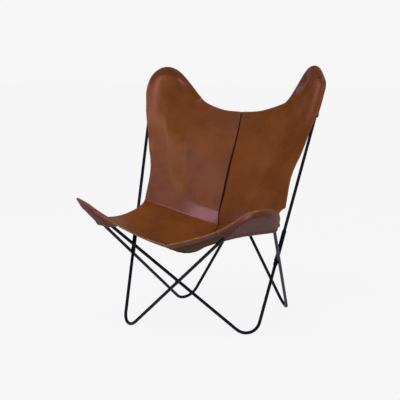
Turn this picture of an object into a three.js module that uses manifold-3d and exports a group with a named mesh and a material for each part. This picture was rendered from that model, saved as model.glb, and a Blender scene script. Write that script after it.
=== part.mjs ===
// Butterfly sling chair. Two closed loops of round steel rod cross at the front, the back and
// both sides, and a leather sling hangs from their four corners by pockets.
// Millimetres, +Z up. The chair faces -Y. Left and right are as seen from the front.

import * as THREE from 'three';
import { mergeVertices } from 'three/addons/utils/BufferGeometryUtils.js';
import Module from 'manifold-3d';

const wasm = await Module();
wasm.setup();

// Rod frame. Spreads, reaches and heights are to the points where the straight runs would meet,
// on the rods' centre lines.
const rodDiameter = 11;
const frontFootSpread = 472;
const backFootSpread = 404;
const footDepth = 504;
const frontTipReach = 222;
const frontTipHeight = 504;
const backTipSpread = 685;
const backTipReach = 571;
const backTipHeight = 950;
const footBendRadius = 53;
const frontBendRadius = 66;
const backBendRadius = 54;
const footFlatDepth = 0.5;

// Where parts meet.
const seatGap = 0.3;
const weldWeb = 0.6;
const weldRadius = 8;
const weldHalfDepth = 5;

// Sleeves that join the back hoops to the base, and their set screws.
const sleeveDiameter = 15;
const sleeveLength = 132;
const sleeveChamfer = 1;
const sleeveTaper = 4;
const sleeveLip = 0.6;
const sleeveBelowCrossing = 12;
const jointShare = 0.5;
const backSleeveAboveCrossing = 95;
const screwDiameter = 5;
const screwProud = 1.6;
const screwChamfer = 0.4;
const screwFromEnd = 22;
const socketAcrossFlats = 2.5;
const socketDepth = 1.6;

// Leather sling.
const leatherThickness = 3.2;
const creaseDepth = 306;
const creaseHeight = 312;
const backTopDepth = 552;
const backTopHeight = 704;
const frontEdgeReach = 192;
const frontEdgeHeight = 320;
const seatLowHeight = 258;
const notchHalfWidth = 265;
const notchDepth = 257;
const notchHeight = 400;
const seatSideSag = 28;
const seatCrown = 13;
const frontEdgeBow = 9;
const backHoodRun = 178;
const backHoodMargin = 25;
const backHoodProud = 40;
const frontHoodRun = 150;
const frontHoodMargin = 30;
const frontHoodProud = 12;
const hoodRoom = 0.65;
const rodPrintRoom = 1.2;
const rodPrintWidth = 16;
const rodPrintSoftness = 3;
const backPocketDepth = 240;
const frontPocketDepth = 212;

// Fineness.
const rodSides = 16;
const lathSides = 32;
const bendStep = THREE.MathUtils.degToRad(10);
const settlePasses = 8;
const panelCells = 18;
const pocketCells = 9;
const bendCells = 5;
const easeCells = 4;
const wrapSteps = 5;
const edgeSteps = 12;
const weldSides = 20;

const rodRadius = rodDiameter / 2;
const sleeveRadius = sleeveDiameter / 2;
const halfLeather = leatherThickness / 2;
const overRod = rodRadius + seatGap + halfLeather;
const openCells = panelCells - pocketCells;
const UP = new THREE.Vector3(0, 0, 1);

const vec = (x, y, z) => new THREE.Vector3(x, y, z);
const mix = (a, b, share) => a.clone().lerp(b, share);
const direction = (from, to) => to.clone().sub(from).normalize();

// Finishes.
function finish(color, roughness, metalness) {
  return new THREE.MeshStandardMaterial({ color, roughness, metalness, side: THREE.DoubleSide });
}
const rodFinish = () => finish(0x17151c, 0.42, 0.25);
const screwFinish = () => finish(0x24232a, 0.35, 0.8);
const leatherFinish = () => finish(0x7a4422, 0.5, 0);

// Solids are cut and joined as closed, merged meshes.
function toSolid(geometry) {
  const bare = new THREE.BufferGeometry();
  bare.setAttribute('position', geometry.attributes.position);
  if (geometry.index) bare.setIndex(geometry.index);
  const merged = mergeVertices(bare);
  const vertProperties = new Float32Array(merged.attributes.position.array);
  const triVerts = new Uint32Array(merged.index.array);
  return new wasm.Manifold(new wasm.Mesh({ numProp: 3, vertProperties, triVerts }));
}

function toGeometry(solid) {
  const mesh = solid.getMesh();
  const geometry = new THREE.BufferGeometry();
  geometry.setAttribute('position', new THREE.BufferAttribute(new Float32Array(mesh.vertProperties), 3));
  geometry.setIndex(new THREE.BufferAttribute(new Uint32Array(mesh.triVerts), 1));
  geometry.computeVertexNormals();
  return geometry;
}

const chair = new THREE.Group();
function addPart(name, geometry, material, parent = chair) {
  const mesh = new THREE.Mesh(geometry, material);
  mesh.name = name;
  parent.add(mesh);
  return mesh;
}

// A bend at a corner between two straight runs, as an arc on the rod's centre line.
function bendAt(before, corner, after, radius) {
  const back = direction(corner, before);
  const ahead = direction(corner, after);
  const half = back.angleTo(ahead) / 2;
  const middle = back.clone().add(ahead).normalize();
  const centre = corner.clone().addScaledVector(middle, radius / Math.sin(half));
  const start = corner.clone().addScaledVector(back, radius / Math.tan(half));
  const normal = back.clone().cross(ahead).normalize();
  const lowest = centre.z - radius * Math.sqrt(1 - normal.z ** 2);
  return { centre, start, travel: back.negate(), sweep: Math.PI - 2 * half, radius, lowest };
}

// The rod's centre line: straight runs and bends, with stations only where it turns.
class RodPath extends THREE.Curve {
  constructor(corners, radii) {
    super();
    this.stations = [{ at: corners[0], along: direction(corners[0], corners[1]) }];
    radii.forEach((radius, i) => {
      const bend = bendAt(corners[i], corners[i + 1], corners[i + 2], radius);
      const out = direction(bend.centre, bend.start);
      const steps = Math.ceil(bend.sweep / bendStep);
      for (let k = 0; k <= steps; k++) {
        const turn = bend.sweep * k / steps;
        const at = bend.centre.clone()
          .addScaledVector(out, radius * Math.cos(turn))
          .addScaledVector(bend.travel, radius * Math.sin(turn));
        const along = bend.travel.clone().multiplyScalar(Math.cos(turn)).addScaledVector(out, -Math.sin(turn));
        this.stations.push({ at, along });
      }
    });
    const last = corners.length - 1;
    this.stations.push({ at: corners[last], along: direction(corners[last - 1], corners[last]) });
    this.steps = this.stations.length - 1;
  }

  getPointAt(share) {
    return this.stations[Math.round(share * this.steps)].at.clone();
  }

  getTangentAt(share) {
    return this.stations[Math.round(share * this.steps)].along.clone();
  }
}

function rodGeometry(corners, radii) {
  const path = new RodPath(corners, radii);
  const section = new THREE.Shape().absarc(0, 0, rodRadius, 0, 2 * Math.PI);
  return new THREE.ExtrudeGeometry(section, {
    steps: path.steps,
    curveSegments: rodSides / 2,
    bevelEnabled: false,
    extrudePath: path,
  });
}

function roundBar(from, to, radius, sides) {
  const bar = new THREE.CylinderGeometry(radius, radius, from.distanceTo(to), sides);
  bar.applyQuaternion(new THREE.Quaternion().setFromUnitVectors(vec(0, 1, 0), direction(from, to)));
  const middle = mix(from, to, 1 / 2);
  return bar.translate(middle.x, middle.y, middle.z);
}

// Nearest points of two straight runs: how far along the first, the two points and their gap.
function crossingOf(a, b, c, d) {
  const u = b.clone().sub(a);
  const v = d.clone().sub(c);
  const normal = u.clone().cross(v);
  const between = c.clone().sub(a);
  const scale = normal.lengthSq();
  const share = between.clone().cross(v).dot(normal) / scale;
  const farShare = between.clone().cross(u).dot(normal) / scale;
  const first = a.clone().addScaledVector(u, share);
  const second = c.clone().addScaledVector(v, farShare);
  return { first, second, along: share * u.length(), gap: first.distanceTo(second), normal: normal.normalize() };
}

// Each loop runs front foot, back tip over it, back foot on the far side, front tip over that.
// The loops mirror each other and are set apart along Y so that the rods just pass at the front and at the back.
const rodPitch = rodDiameter + weldWeb + 2 * seatGap;
const loops = [-1, 1].map((side) => ({ side, frontRise: 0, backRise: 0 }));
let frontTipSpread = backTipSpread;

function placeCorners(loop) {
  const { side } = loop;
  const setOff = (reach, rise) => side * rodPitch / 2 * Math.hypot(reach, rise) / rise;
  const frontShift = setOff(frontTipReach, frontTipHeight - loop.frontRise);
  const backShift = setOff(backTipReach - footDepth, backTipHeight - loop.backRise);
  loop.frontFoot = vec(side * frontFootSpread / 2, frontShift, loop.frontRise);
  loop.backTip = vec(side * backTipSpread / 2, backTipReach + backShift, backTipHeight);
  loop.backFoot = vec(-side * backFootSpread / 2, footDepth + backShift, loop.backRise);
  loop.frontTip = vec(-side * frontTipSpread / 2, frontShift - frontTipReach, frontTipHeight);
}

// The feet come down until their bends rest on the floor, and the front tips spring apart until
// the outer side rods pass the sleeves on the rods inside them.
const [leftLoop, rightLoop] = loops;
const footCentre = rodRadius - footFlatDepth;
const sideSeat = rodRadius + sleeveRadius + seatGap;
loops.forEach(placeCorners);
for (let pass = 0; pass < settlePasses; pass++) {
  const spreads = [[leftLoop, rightLoop], [rightLoop, leftLoop]].map(([loop, other]) => {
    loop.frontRise += footCentre - bendAt(loop.frontTip, loop.frontFoot, loop.backTip, footBendRadius).lowest;
    loop.backRise += footCentre - bendAt(loop.frontTip, loop.backFoot, loop.backTip, footBendRadius).lowest;
    const side = crossingOf(other.frontFoot, other.backTip, loop.backFoot, loop.frontTip);
    const reachShare = (side.second.z - loop.backRise) / (frontTipHeight - loop.backRise);
    return frontTipSpread + (sideSeat - side.gap) * 2 / (Math.abs(side.normal.x) * reachShare);
  });
  frontTipSpread = Math.max(...spreads);
  loops.forEach(placeCorners);
}

const frontCrossing = crossingOf(leftLoop.frontFoot, leftLoop.frontTip, rightLoop.frontFoot, rightLoop.frontTip);
const backCrossing = crossingOf(leftLoop.backFoot, leftLoop.backTip, rightLoop.backFoot, rightLoop.backTip);

// Joints: a sleeve over the butted rod ends, with a set screw on the side towards the middle.
function makeSleeve() {
  const bore = rodRadius + seatGap;
  const profile = [
    [bore, 0],
    [sleeveRadius - sleeveChamfer, 0],
    [sleeveRadius, sleeveChamfer],
    [sleeveRadius, sleeveLength - sleeveTaper],
    [bore + sleeveLip, sleeveLength],
    [bore, sleeveLength],
    [bore, 0],
  ].map(([x, y]) => new THREE.Vector2(x, y));
  const tube = toSolid(new THREE.LatheGeometry(profile, lathSides));
  const hole = roundBar(vec(0, screwFromEnd, 0), vec(sleeveDiameter, screwFromEnd, 0),
    screwDiameter / 2 + seatGap, lathSides);
  return toGeometry(tube.subtract(toSolid(hole)));
}

function makeScrew() {
  const radius = screwDiameter / 2;
  const tip = rodRadius + seatGap;
  const end = sleeveRadius + screwProud;
  const profile = [
    [0, tip],
    [radius - screwChamfer, tip],
    [radius, tip + screwChamfer],
    [radius, end - screwChamfer],
    [radius - screwChamfer, end],
    [0, end],
  ].map(([x, y]) => new THREE.Vector2(x, y));
  const body = new THREE.LatheGeometry(profile, lathSides);
  const hexRadius = socketAcrossFlats / Math.sqrt(3);
  const socket = new THREE.CylinderGeometry(hexRadius, hexRadius, 2 * socketDepth, 6);
  socket.translate(0, end, 0);
  const screw = toGeometry(toSolid(body).subtract(toSolid(socket)));
  return screw.rotateZ(-Math.PI / 2).translate(0, screwFromEnd, 0);
}

function addJoint(name, low, upward) {
  const joint = new THREE.Group();
  const inward = vec(-Math.sign(low.x), 0, 0);
  const x = inward.addScaledVector(upward, -inward.dot(upward)).normalize();
  joint.quaternion.setFromRotationMatrix(new THREE.Matrix4().makeBasis(x, upward, x.clone().cross(upward)));
  joint.position.copy(low);
  addPart(`${name}_sleeve`, makeSleeve(), rodFinish(), joint);
  addPart(`${name}_set_screw`, makeScrew(), screwFinish(), joint);
  chair.add(joint);
}

const floorBlock = new THREE.BoxGeometry(2 * footDepth, 2 * (footDepth + backTipReach), footDepth);
floorBlock.translate(0, 0, -footDepth / 2);
for (const [loop, other] of [[leftLoop, rightLoop], [rightLoop, leftLoop]]) {
  const hand = loop.side < 0 ? 'left' : 'right';
  const side = crossingOf(loop.frontFoot, loop.backTip, other.backFoot, other.frontTip);
  const sideUp = direction(loop.frontFoot, loop.backTip);
  const sideLow = side.first.clone().addScaledVector(sideUp, -sleeveBelowCrossing);
  const sideJoint = sideLow.clone().addScaledVector(sideUp, jointShare * sleeveLength);
  const backUp = direction(loop.backFoot, loop.backTip);
  const backMeet = loop === leftLoop ? backCrossing.first : backCrossing.second;
  const backLow = backMeet.clone().addScaledVector(backUp, backSleeveAboveCrossing);
  const backJoint = backLow.clone().addScaledVector(backUp, jointShare * sleeveLength);

  const baseEnds = [sideJoint, backJoint].map((end, i) =>
    end.clone().addScaledVector(i === 0 ? sideUp : backUp, -seatGap / 2));
  const hoopEnds = [sideJoint, backJoint].map((end, i) =>
    end.clone().addScaledVector(i === 0 ? sideUp : backUp, seatGap / 2));

  const base = rodGeometry([baseEnds[0], loop.frontFoot, loop.frontTip, loop.backFoot, baseEnds[1]],
    [footBendRadius, frontBendRadius, footBendRadius]);
  const standing = toSolid(base).subtract(toSolid(floorBlock));
  addPart(`base_rod_${hand}`, toGeometry(standing), rodFinish());
  const hoop = rodGeometry([hoopEnds[0], loop.backTip, hoopEnds[1]], [backBendRadius]);
  addPart(`back_hoop_${hand}`, hoop, rodFinish());
  addJoint(`side_${hand}`, sideLow, sideUp);
  addJoint(`back_${hand}`, backLow, backUp);
}

// Welds: a bead that fills the corners where two rods cross.
function addWeld(name, crossing, runs) {
  const bead = new THREE.SphereGeometry(1, weldSides, weldSides / 2);
  bead.scale(weldRadius, weldHalfDepth, weldRadius);
  bead.applyQuaternion(new THREE.Quaternion().setFromUnitVectors(vec(0, 1, 0), crossing.normal));
  const middle = mix(crossing.first, crossing.second, 1 / 2);
  bead.translate(middle.x, middle.y, middle.z);
  const left = runs.reduce((solid, [a, b]) =>
    solid.subtract(toSolid(roundBar(a, b, rodRadius + seatGap, lathSides))), toSolid(bead));
  addPart(name, toGeometry(left), rodFinish());
}
addWeld('front_weld', frontCrossing, loops.map((loop) => [loop.frontFoot, loop.frontTip]));
addWeld('back_weld', backCrossing, loops.map((loop) => [loop.backFoot, loop.backTip]));

// A rod hoop seen in its own plane. Down is from the tip along the middle, out is towards the
// chair's side, and proud is off the plane towards the sitter.
class Hoop {
  constructor(tip, outerEnd, innerEnd, sitter, bendRadius) {
    const outer = direction(tip, outerEnd);
    const inner = direction(tip, innerEnd);
    this.tip = tip;
    this.half = outer.angleTo(inner) / 2;
    this.down = outer.clone().add(inner).normalize();
    this.out = outer.clone().sub(inner).normalize();
    this.proud = this.down.clone().cross(this.out);
    if (this.proud.dot(direction(tip, sitter)) < 0) this.proud.negate();
    this.bendRadius = bendRadius;
    this.centreDown = bendRadius / Math.sin(this.half);
    this.runIn = bendRadius / Math.tan(this.half);
    this.halfSweep = Math.PI / 2 - this.half;
  }

  world(down, out, proud) {
    return this.tip.clone().addScaledVector(this.down, down).addScaledVector(this.out, out)
      .addScaledVector(this.proud, proud);
  }

  local(point) {
    const from = point.clone().sub(this.tip);
    return { down: from.dot(this.down), out: from.dot(this.out), proud: from.dot(this.proud) };
  }

  // The rod's centre line at a distance from the apex, positive on the outer side.
  rodAt(run) {
    const sign = Math.sign(run) || 1;
    const arc = this.bendRadius * this.halfSweep;
    const turn = Math.min(Math.abs(run), arc) / this.bendRadius;
    const straight = Math.max(Math.abs(run) - arc, 0);
    return {
      down: this.centreDown - this.bendRadius * Math.cos(turn) + straight * Math.sin(turn),
      out: sign * (this.bendRadius * Math.sin(turn) + straight * Math.cos(turn)),
      away: [-Math.cos(turn), sign * Math.sin(turn)],
    };
  }

  // A point beyond the rod, in the hoop's plane, and proud of it.
  rim(run, beyond, proud) {
    const rod = this.rodAt(run);
    return this.world(rod.down + rod.away[0] * beyond, rod.out + rod.away[1] * beyond, proud);
  }

  // How far a point of the plane lies outside the rod's centre line, and the nearest run.
  nearest(down, out) {
    const sign = Math.sign(out) || 1;
    const across = Math.abs(out);
    const along = down * Math.cos(this.half) + across * Math.sin(this.half);
    const arc = this.bendRadius * this.halfSweep;
    if (along > this.runIn) {
      const beyond = across * Math.cos(this.half) - down * Math.sin(this.half);
      return { beyond, run: sign * (arc + along - this.runIn) };
    }
    const turn = Math.min(Math.atan2(across, this.centreDown - down), this.halfSweep);
    const beyond = Math.hypot(across, this.centreDown - down) - this.bendRadius;
    return { beyond, run: sign * turn * this.bendRadius };
  }

  // Leather that lies over the rod stands proud of it and shows its print.
  liftOver(point) {
    const { down, out, proud } = this.local(point);
    const { beyond } = this.nearest(down, out);
    const print = (overRod + rodPrintRoom) * Math.exp(-((beyond / rodPrintWidth) ** 2) / 2);
    const lifted = (proud + print + Math.hypot(proud - print, rodPrintSoftness)) / 2;
    return point.clone().addScaledVector(this.proud, lifted - proud);
  }
}

// Sling outlines. A rim table holds [run, beyond, proud] as shares of the hood's three sizes. The
// right hood stands a little higher than the left one, and the left wing ends in a sharper tip.
const leftBackRimShares = [
  [1, 0.64, 0.07],
  [0.86, 0.72, 0.03],
  [0.54, 0.9, 0.03],
  [0.3, 0.72, 0.26],
  [0.14, 0.76, 0.56],
  [0, 0.84, 0.84],
  [-0.14, 0.74, 1],
  [-0.3, 0.72, 1.04],
  [-0.57, 1.44, 0.88],
  [-0.9, 2.1, 0.84],
];
const rightBackRimShares = [
  [1, 0.7, 0.07],
  [0.86, 0.84, 0.03],
  [0.54, 0.88, 0.05],
  [0.3, 0.7, 0.3],
  [0.14, 1.04, 0.6],
  [0, 1.4, 0.9],
  [-0.14, 1.3, 1.04],
  [-0.3, 0.83, 1.04],
  [-0.57, 1.34, 0.88],
  [-0.9, 2, 0.84],
];
const leftFrontRimShares = [
  [-0.95, 1.22, 1],
  [-0.53, 0.38, 0.5],
  [-0.24, 0.3, 0.55],
  [0, 0.6, 0.2],
  [0.13, 0.98, 0.05],
  [0.33, 0.5, 0.2],
  [0.51, 0.7, 0.4],
  [0.73, 0.74, 0.4],
  [1, 0.63, 0.66],
];
const rightFrontRimShares = [
  [-0.95, 1.22, 1.1],
  [-0.53, 0.38, 0.85],
  [-0.24, 0.33, 1],
  [0, 0.6, 0.55],
  [0.13, 0.74, 0.2],
  [0.33, 0.8, 0.55],
  [0.51, 0.88, 0.6],
  [0.73, 0.82, 0.4],
  [0.97, 0.57, 0.9],
];
// The bend of a hood begins this many stations from its apex.
const bendStations = 2;
// Stations between two known points hold [across, depth, height] as shares of the way.
const topEdgeShares = [[0.43, 0.1, 0.13], [0.83, 0.42, 0.63]];
const backSideShares = [[0.04, 0.39, 0.35], [0.51, 0.69, 0.64], [0.88, 0.91, 0.9]];
const frontEdgeShares = [[0.47, 0.47, 0.41]];
const backSeamShares = [
  [0, 0.01, 0.07],
  [0, 0.04, 0.143],
  [0, 0.114, 0.2],
  [0, 0.24, 0.31],
  [0, 0.37, 0.44],
  [0, 0.52, 0.57],
  [0, 0.695, 0.7],
  [0, 0.846, 0.834],
];
// Along the seat's middle: [how far back, how far down to its lowest], from the front edge.
const seatSeamShares = [[0.11, 0.32], [0.26, 0.66], [0.41, 0.89], [0.56, 1], [0.68, 0.96], [0.79, 0.76], [0.9, 0.42]];
// Along the seat's side, from the crease: [across, depth and height, share of the sag].
const seatSideShares = [[-0.1, 0.14, 0.25], [0.05, 0.315, 0.66], [0.4, 0.5, 1], [0.72, 0.75, 0.8]];
// The crown of a half seat is highest at this share of its width and length.
const crownShare = 1 / 3;
// Where it is folded over the rod, the leather stands this share of the rim's height off the hoop.
const foldShare = 0.62;

const span = (cells) => Array.from({ length: cells + 1 }, (_, k) => k);

const stations = (from, to, shares) => shares.map(([x, y, z]) =>
  vec(from.x + (to.x - from.x) * x, from.y + (to.y - from.y) * y, from.z + (to.z - from.z) * z));

// A smooth edge through the points, sampled at the panel's cells. A stop is a point with the
// number of cells before it. The edge ends before the points ahead, which only turn its end.
function edgeCells(points, stops = [], ahead = []) {
  const curve = new THREE.CatmullRomCurve3([...points, ...ahead], false, 'centripetal');
  const lengths = curve.getLengths((points.length + ahead.length - 1) * edgeSteps);
  const marks = [[0, 0], ...stops, [points.length - 1, panelCells]];
  return span(panelCells).map((cell) => {
    const next = Math.max(marks.findIndex(([, cells]) => cells >= cell), 1);
    const [from, to] = [marks[next - 1], marks[next]];
    const [start, end] = [from[0], to[0]].map((point) => lengths[point * edgeSteps] / lengths.at(-1));
    return curve.getPointAt(start + (end - start) * (cell - from[1]) / (to[1] - from[1]));
  });
}

// The point of a sheet between four edges. Bottom and top run outwards, inner and outer run up.
function between(bottom, top, inner, outer, i, j) {
  const last = bottom.length - 1;
  const up = mix(bottom[i], top[i], j / last);
  const across = mix(inner[j], outer[j], i / last);
  const flat = mix(mix(bottom[0], bottom[last], i / last), mix(top[0], top[last], i / last), j / last);
  return up.add(across).sub(flat);
}

// From 0 at both ends to 1 at the share where a crown is highest.
function swell(share) {
  const rise = (at) => at * (1 - at) ** 2;
  return rise(share) / rise(crownShare);
}

// A panel as a grid, outwards from the middle seam and on from the crease. In the hood the last
// row and column of cells lie beyond the rod, so that the fold over the rod is an edge of them.
function panelPoints(hoop, crease, far, seam, side, crown) {
  const inner = panelCells - 1;
  const bendStart = panelCells - bendCells;
  const fold = (edge, inset) => span(inner).map((k) => {
    const easy = hoop.liftOver(inset(k));
    if (k < openCells) return easy;
    const from = hoop.local(edge[Math.min(k, bendStart)]);
    const { run } = hoop.nearest(from.down, from.out);
    const height = Math.max(overRod + hoodRoom, foldShare * hoop.local(edge[k]).proud);
    const onRod = hoop.rim(run * Math.min((inner - k) / (inner - bendStart), 1), 0, height);
    return easy.lerp(onRod, THREE.MathUtils.smoothstep(k, openCells - 1, openCells - 1 + easeCells));
  });
  const foldSide = fold(side, (j) => between(crease, far, seam, side, inner, j));
  const foldFar = fold(far, (i) => between(crease, far, seam, side, i, inner));
  const cut = (edge) => edge.slice(0, panelCells);
  const points = [];
  for (let j = 0; j <= panelCells; j++) {
    for (let i = 0; i <= panelCells; i++) {
      if (i === panelCells || j === panelCells) {
        points.push(hoop.liftOver(i === panelCells ? side[j] : far[i]));
        continue;
      }
      const point = between([...cut(crease).slice(0, -1), foldSide[0]], foldFar,
        [...cut(seam).slice(0, -1), foldFar[0]], foldSide, i, j);
      point.addScaledVector(UP, crown * swell(i / inner) * swell(j / inner));
      points.push(i === inner || j === inner ? point : hoop.liftOver(point));
    }
  }
  return points;
}

const panelIndex = (i, j) => j * (panelCells + 1) + i;

function panelTriangles(flip) {
  const triangles = [];
  for (let j = 0; j < panelCells; j++) {
    for (let i = 0; i < panelCells; i++) {
      const [a, b] = [panelIndex(i, j), panelIndex(i + 1, j)];
      const [c, d] = [panelIndex(i + 1, j + 1), panelIndex(i, j + 1)];
      triangles.push(flip ? [a, c, b] : [a, b, c], flip ? [a, d, c] : [a, c, d]);
    }
  }
  return triangles;
}

function sheetNormals(points, triangles) {
  const normals = points.map(() => vec(0, 0, 0));
  for (const [a, b, c] of triangles) {
    const face = points[b].clone().sub(points[a]).cross(points[c].clone().sub(points[a]));
    for (const k of [a, b, c]) normals[k].add(face);
  }
  return normals.map((normal) => normal.normalize());
}

// A sheet with thickness: both faces, and a wall along every edge that only one triangle uses.
function leatherGeometry(upper, lower, triangles) {
  const faces = triangles.map(([a, b, c]) => [a, b, c]);
  const under = upper.length;
  const edges = new Map();
  for (const [a, b, c] of triangles) {
    faces.push([under + a, under + c, under + b]);
    for (const [from, to] of [[a, b], [b, c], [c, a]]) edges.set(`${from},${to}`, [from, to]);
  }
  for (const [from, to] of edges.values()) {
    if (edges.has(`${to},${from}`)) continue;
    faces.push([to, from, under + from], [to, under + from, under + to]);
  }
  const geometry = new THREE.BufferGeometry().setFromPoints([...upper, ...lower]);
  geometry.setIndex(faces.flat());
  geometry.computeVertexNormals();
  return geometry;
}

function makeHalf(side) {
  const hand = side < 0 ? 'left' : 'right';
  const own = side < 0 ? leftLoop : rightLoop;
  const other = side < 0 ? rightLoop : leftLoop;

  // Middle line, shared by both halves.
  const crease = vec(0, creaseDepth, creaseHeight);
  const topMiddle = vec(0, backTopDepth, backTopHeight);
  const frontMiddle = vec(0, -frontEdgeReach, frontEdgeHeight);
  const notch = vec(side * notchHalfWidth, notchDepth, notchHeight);
  const backHoop = new Hoop(own.backTip, own.frontFoot, own.backFoot, frontMiddle, backBendRadius);
  const frontHoop = new Hoop(other.frontTip, other.backFoot, other.frontFoot, topMiddle, frontBendRadius);
  const backRimShares = side < 0 ? leftBackRimShares : rightBackRimShares;
  const frontRimShares = side < 0 ? leftFrontRimShares : rightFrontRimShares;
  const backRim = backRimShares.map(([run, beyond, proud]) =>
    backHoop.rim(run * backHoodRun, beyond * backHoodMargin, proud * backHoodProud));
  const frontRim = frontRimShares.map(([run, beyond, proud]) =>
    frontHoop.rim(run * frontHoodRun, beyond * frontHoodMargin, proud * frontHoodProud));
  const backApex = backRimShares.findIndex(([run]) => run === 0);
  const frontApex = frontRimShares.findIndex(([run]) => run === 0);

  const bendCell = panelCells - bendCells;
  const creaseLine = edgeCells([crease, mix(crease, notch, 1 / 2), notch]);
  const backSeam = edgeCells([crease, ...stations(crease, topMiddle, backSeamShares), topMiddle]);
  const seatSeam = edgeCells([crease, ...seatSeamShares.map(([back, low]) => {
    const level = mix(frontMiddle, crease, back);
    return vec(0, level.y, level.z + (seatLowHeight - level.z) * low);
  }).reverse(), frontMiddle]);
  // From a point on the middle or the crease along the open edge, then round the hood to its apex.
  const hoodEdge = (open, rim, ahead) => edgeCells([...open, ...rim],
    [[open.length, openCells], [open.length + rim.length - 1 - bendStations, bendCell]], [ahead]);
  const backSide = hoodEdge([notch, ...stations(notch, backRim[0], backSideShares)],
    backRim.slice(0, backApex + 1), backRim[backApex + 1]);
  const topEdge = hoodEdge([topMiddle, ...stations(topMiddle, backRim.at(-1), topEdgeShares)],
    backRim.slice(backApex).reverse(), backRim[backApex - 1]);
  const seatSide = hoodEdge([notch, ...seatSideShares.map(([across, along, sag]) =>
    stations(notch, frontRim.at(-1), [[across, along, along]])[0].addScaledVector(UP, -sag * seatSideSag))],
  frontRim.slice(frontApex).reverse(), frontRim[frontApex - 1]);
  const frontBow = stations(frontMiddle, frontRim[0], frontEdgeShares);
  frontBow[0].y -= frontEdgeBow;
  const frontEdge = hoodEdge([frontMiddle, ...frontBow], frontRim.slice(0, frontApex + 1),
    frontRim[frontApex + 1]);

  const back = panelPoints(backHoop, creaseLine, topEdge, backSeam, backSide, 0);
  const seat = panelPoints(frontHoop, creaseLine, frontEdge, seatSeam, seatSide, seatCrown);
  const backTriangles = panelTriangles(side < 0);
  const seatTriangles = panelTriangles(side > 0);
  const backNormals = sheetNormals(back, backTriangles);
  const seatNormals = sheetNormals(seat, seatTriangles);

  // Half the thickness each way, mitred where the back and the seat meet.
  const faces = (points, normals) => [halfLeather, -halfLeather].map((off) =>
    points.map((point, k) => point.clone().addScaledVector(normals[k], off)));
  const backFaces = faces(back, backNormals);
  const seatFaces = faces(seat, seatNormals);
  for (let i = 0; i <= panelCells; i++) {
    const mitre = backNormals[i].clone().add(seatNormals[i]).normalize();
    const reach = halfLeather / mitre.dot(backNormals[i]);
    const next = panelIndex(i, 1);
    const apart = direction(seat[next], back[next]);
    apart.addScaledVector(mitre, -apart.dot(mitre)).normalize();
    [reach, -reach].forEach((off, face) => {
      const edge = creaseLine[i].clone().addScaledVector(mitre, off);
      backFaces[face][i] = edge.clone().addScaledVector(apart, seatGap / 2);
      seatFaces[face][i] = edge.clone().addScaledVector(apart, -seatGap / 2);
    });
  }
  // The halves meet along the middle with a seam's gap.
  for (const face of [...backFaces, ...seatFaces]) {
    for (let j = 0; j <= panelCells; j++) face[panelIndex(0, j)].x = side * seatGap / 2;
  }
  addPart(`back_panel_${hand}`, leatherGeometry(...backFaces, backTriangles), leatherFinish());
  addPart(`seat_panel_${hand}`, leatherGeometry(...seatFaces, seatTriangles), leatherFinish());

  // Pockets hang from the rims of the hoods, on the far side of the rods.
  const sewn = [
    ...span(pocketCells).map((k) => panelIndex(panelCells, openCells + k)),
    ...span(pocketCells - 1).map((k) => panelIndex(panelCells - 1 - k, panelCells)),
  ];
  addPocket(`back_pocket_${hand}`, backHoop, sewn, back, backNormals, backPocketDepth, side > 0);
  addPocket(`front_pocket_${hand}`, frontHoop, sewn, seat, seatNormals, frontPocketDepth, side < 0);
}

// Across a pocket, from its sewn edge: down to the rod, round behind it and on to the middle.
// The shares are of the straight to the rod and of the way behind it to the middle.
const flankShares = [0, 0.5];
const behindShares = [0.25, 0.6, 1];

function addPocket(name, hoop, edge, panel, normals, depth, flip) {
  const columns = flankShares.length + wrapSteps + behindShares.length;
  const turnRadius = overRod + hoodRoom;
  const last = edge.length - 1;
  const points = [];
  edge.forEach((index, i) => {
    const sewn = panel[index].clone().addScaledVector(normals[index], -(leatherThickness + seatGap));
    const from = hoop.local(sewn);
    const { beyond, run } = hoop.nearest(from.down, from.out);
    const rod = hoop.rodAt(run);
    // In the section through the rod, a is away from the hoop and b is proud of it.
    const section = (a, b) => hoop.world(rod.down + rod.away[0] * a, rod.out + rod.away[1] * a, b);
    const reach = Math.max(Math.hypot(beyond, from.proud), turnRadius);
    const touch = Math.atan2(from.proud, beyond) - Math.acos(turnRadius / reach);
    const turn = (touch + Math.PI / 2) / wrapSteps;
    const onRod = span(wrapSteps - 1).map((k) => {
      const angle = touch - turn * (k + 1 / 2);
      const radius = turnRadius / Math.cos(turn / 2);
      return section(radius * Math.cos(angle), radius * Math.sin(angle));
    });
    for (const share of flankShares) points.push(mix(sewn, onRod[0], share));
    points.push(...onRod);
    const inwards = 1 - Math.abs(2 * i / last - 1);
    const middle = hoop.world(depth + (hoop.centreDown - depth) * inwards, 0, -turnRadius);
    for (const share of behindShares) points.push(mix(onRod.at(-1), middle, share));
  });
  // The two sides of the pocket share the points on its middle line.
  const at = (i, j) => (j === columns - 1 && i > last / 2 ? last - i : i) * columns + j;
  const triangles = [];
  for (let i = 0; i < last; i++) {
    for (let j = 0; j < columns - 1; j++) {
      const quad = [at(i, j), at(i + 1, j), at(i + 1, j + 1), at(i, j + 1)];
      for (const [a, b, c] of [[quad[0], quad[1], quad[2]], [quad[0], quad[2], quad[3]]]) {
        triangles.push(flip ? [a, c, b] : [a, b, c]);
      }
    }
  }
  const used = [...new Set(triangles.flat())].sort((a, b) => a - b);
  const place = new Map(used.map((index, k) => [index, k]));
  const kept = used.map((index) => points[index]);
  const faces = triangles.map((triangle) => triangle.map((index) => place.get(index)));
  const outwards = sheetNormals(kept, faces);
  const [upper, lower] = [halfLeather, -halfLeather].map((off) =>
    kept.map((point, k) => point.clone().addScaledVector(outwards[k], off)));
  addPart(name, leatherGeometry(upper, lower, faces), leatherFinish());
}

makeHalf(-1);
makeHalf(1);

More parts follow.
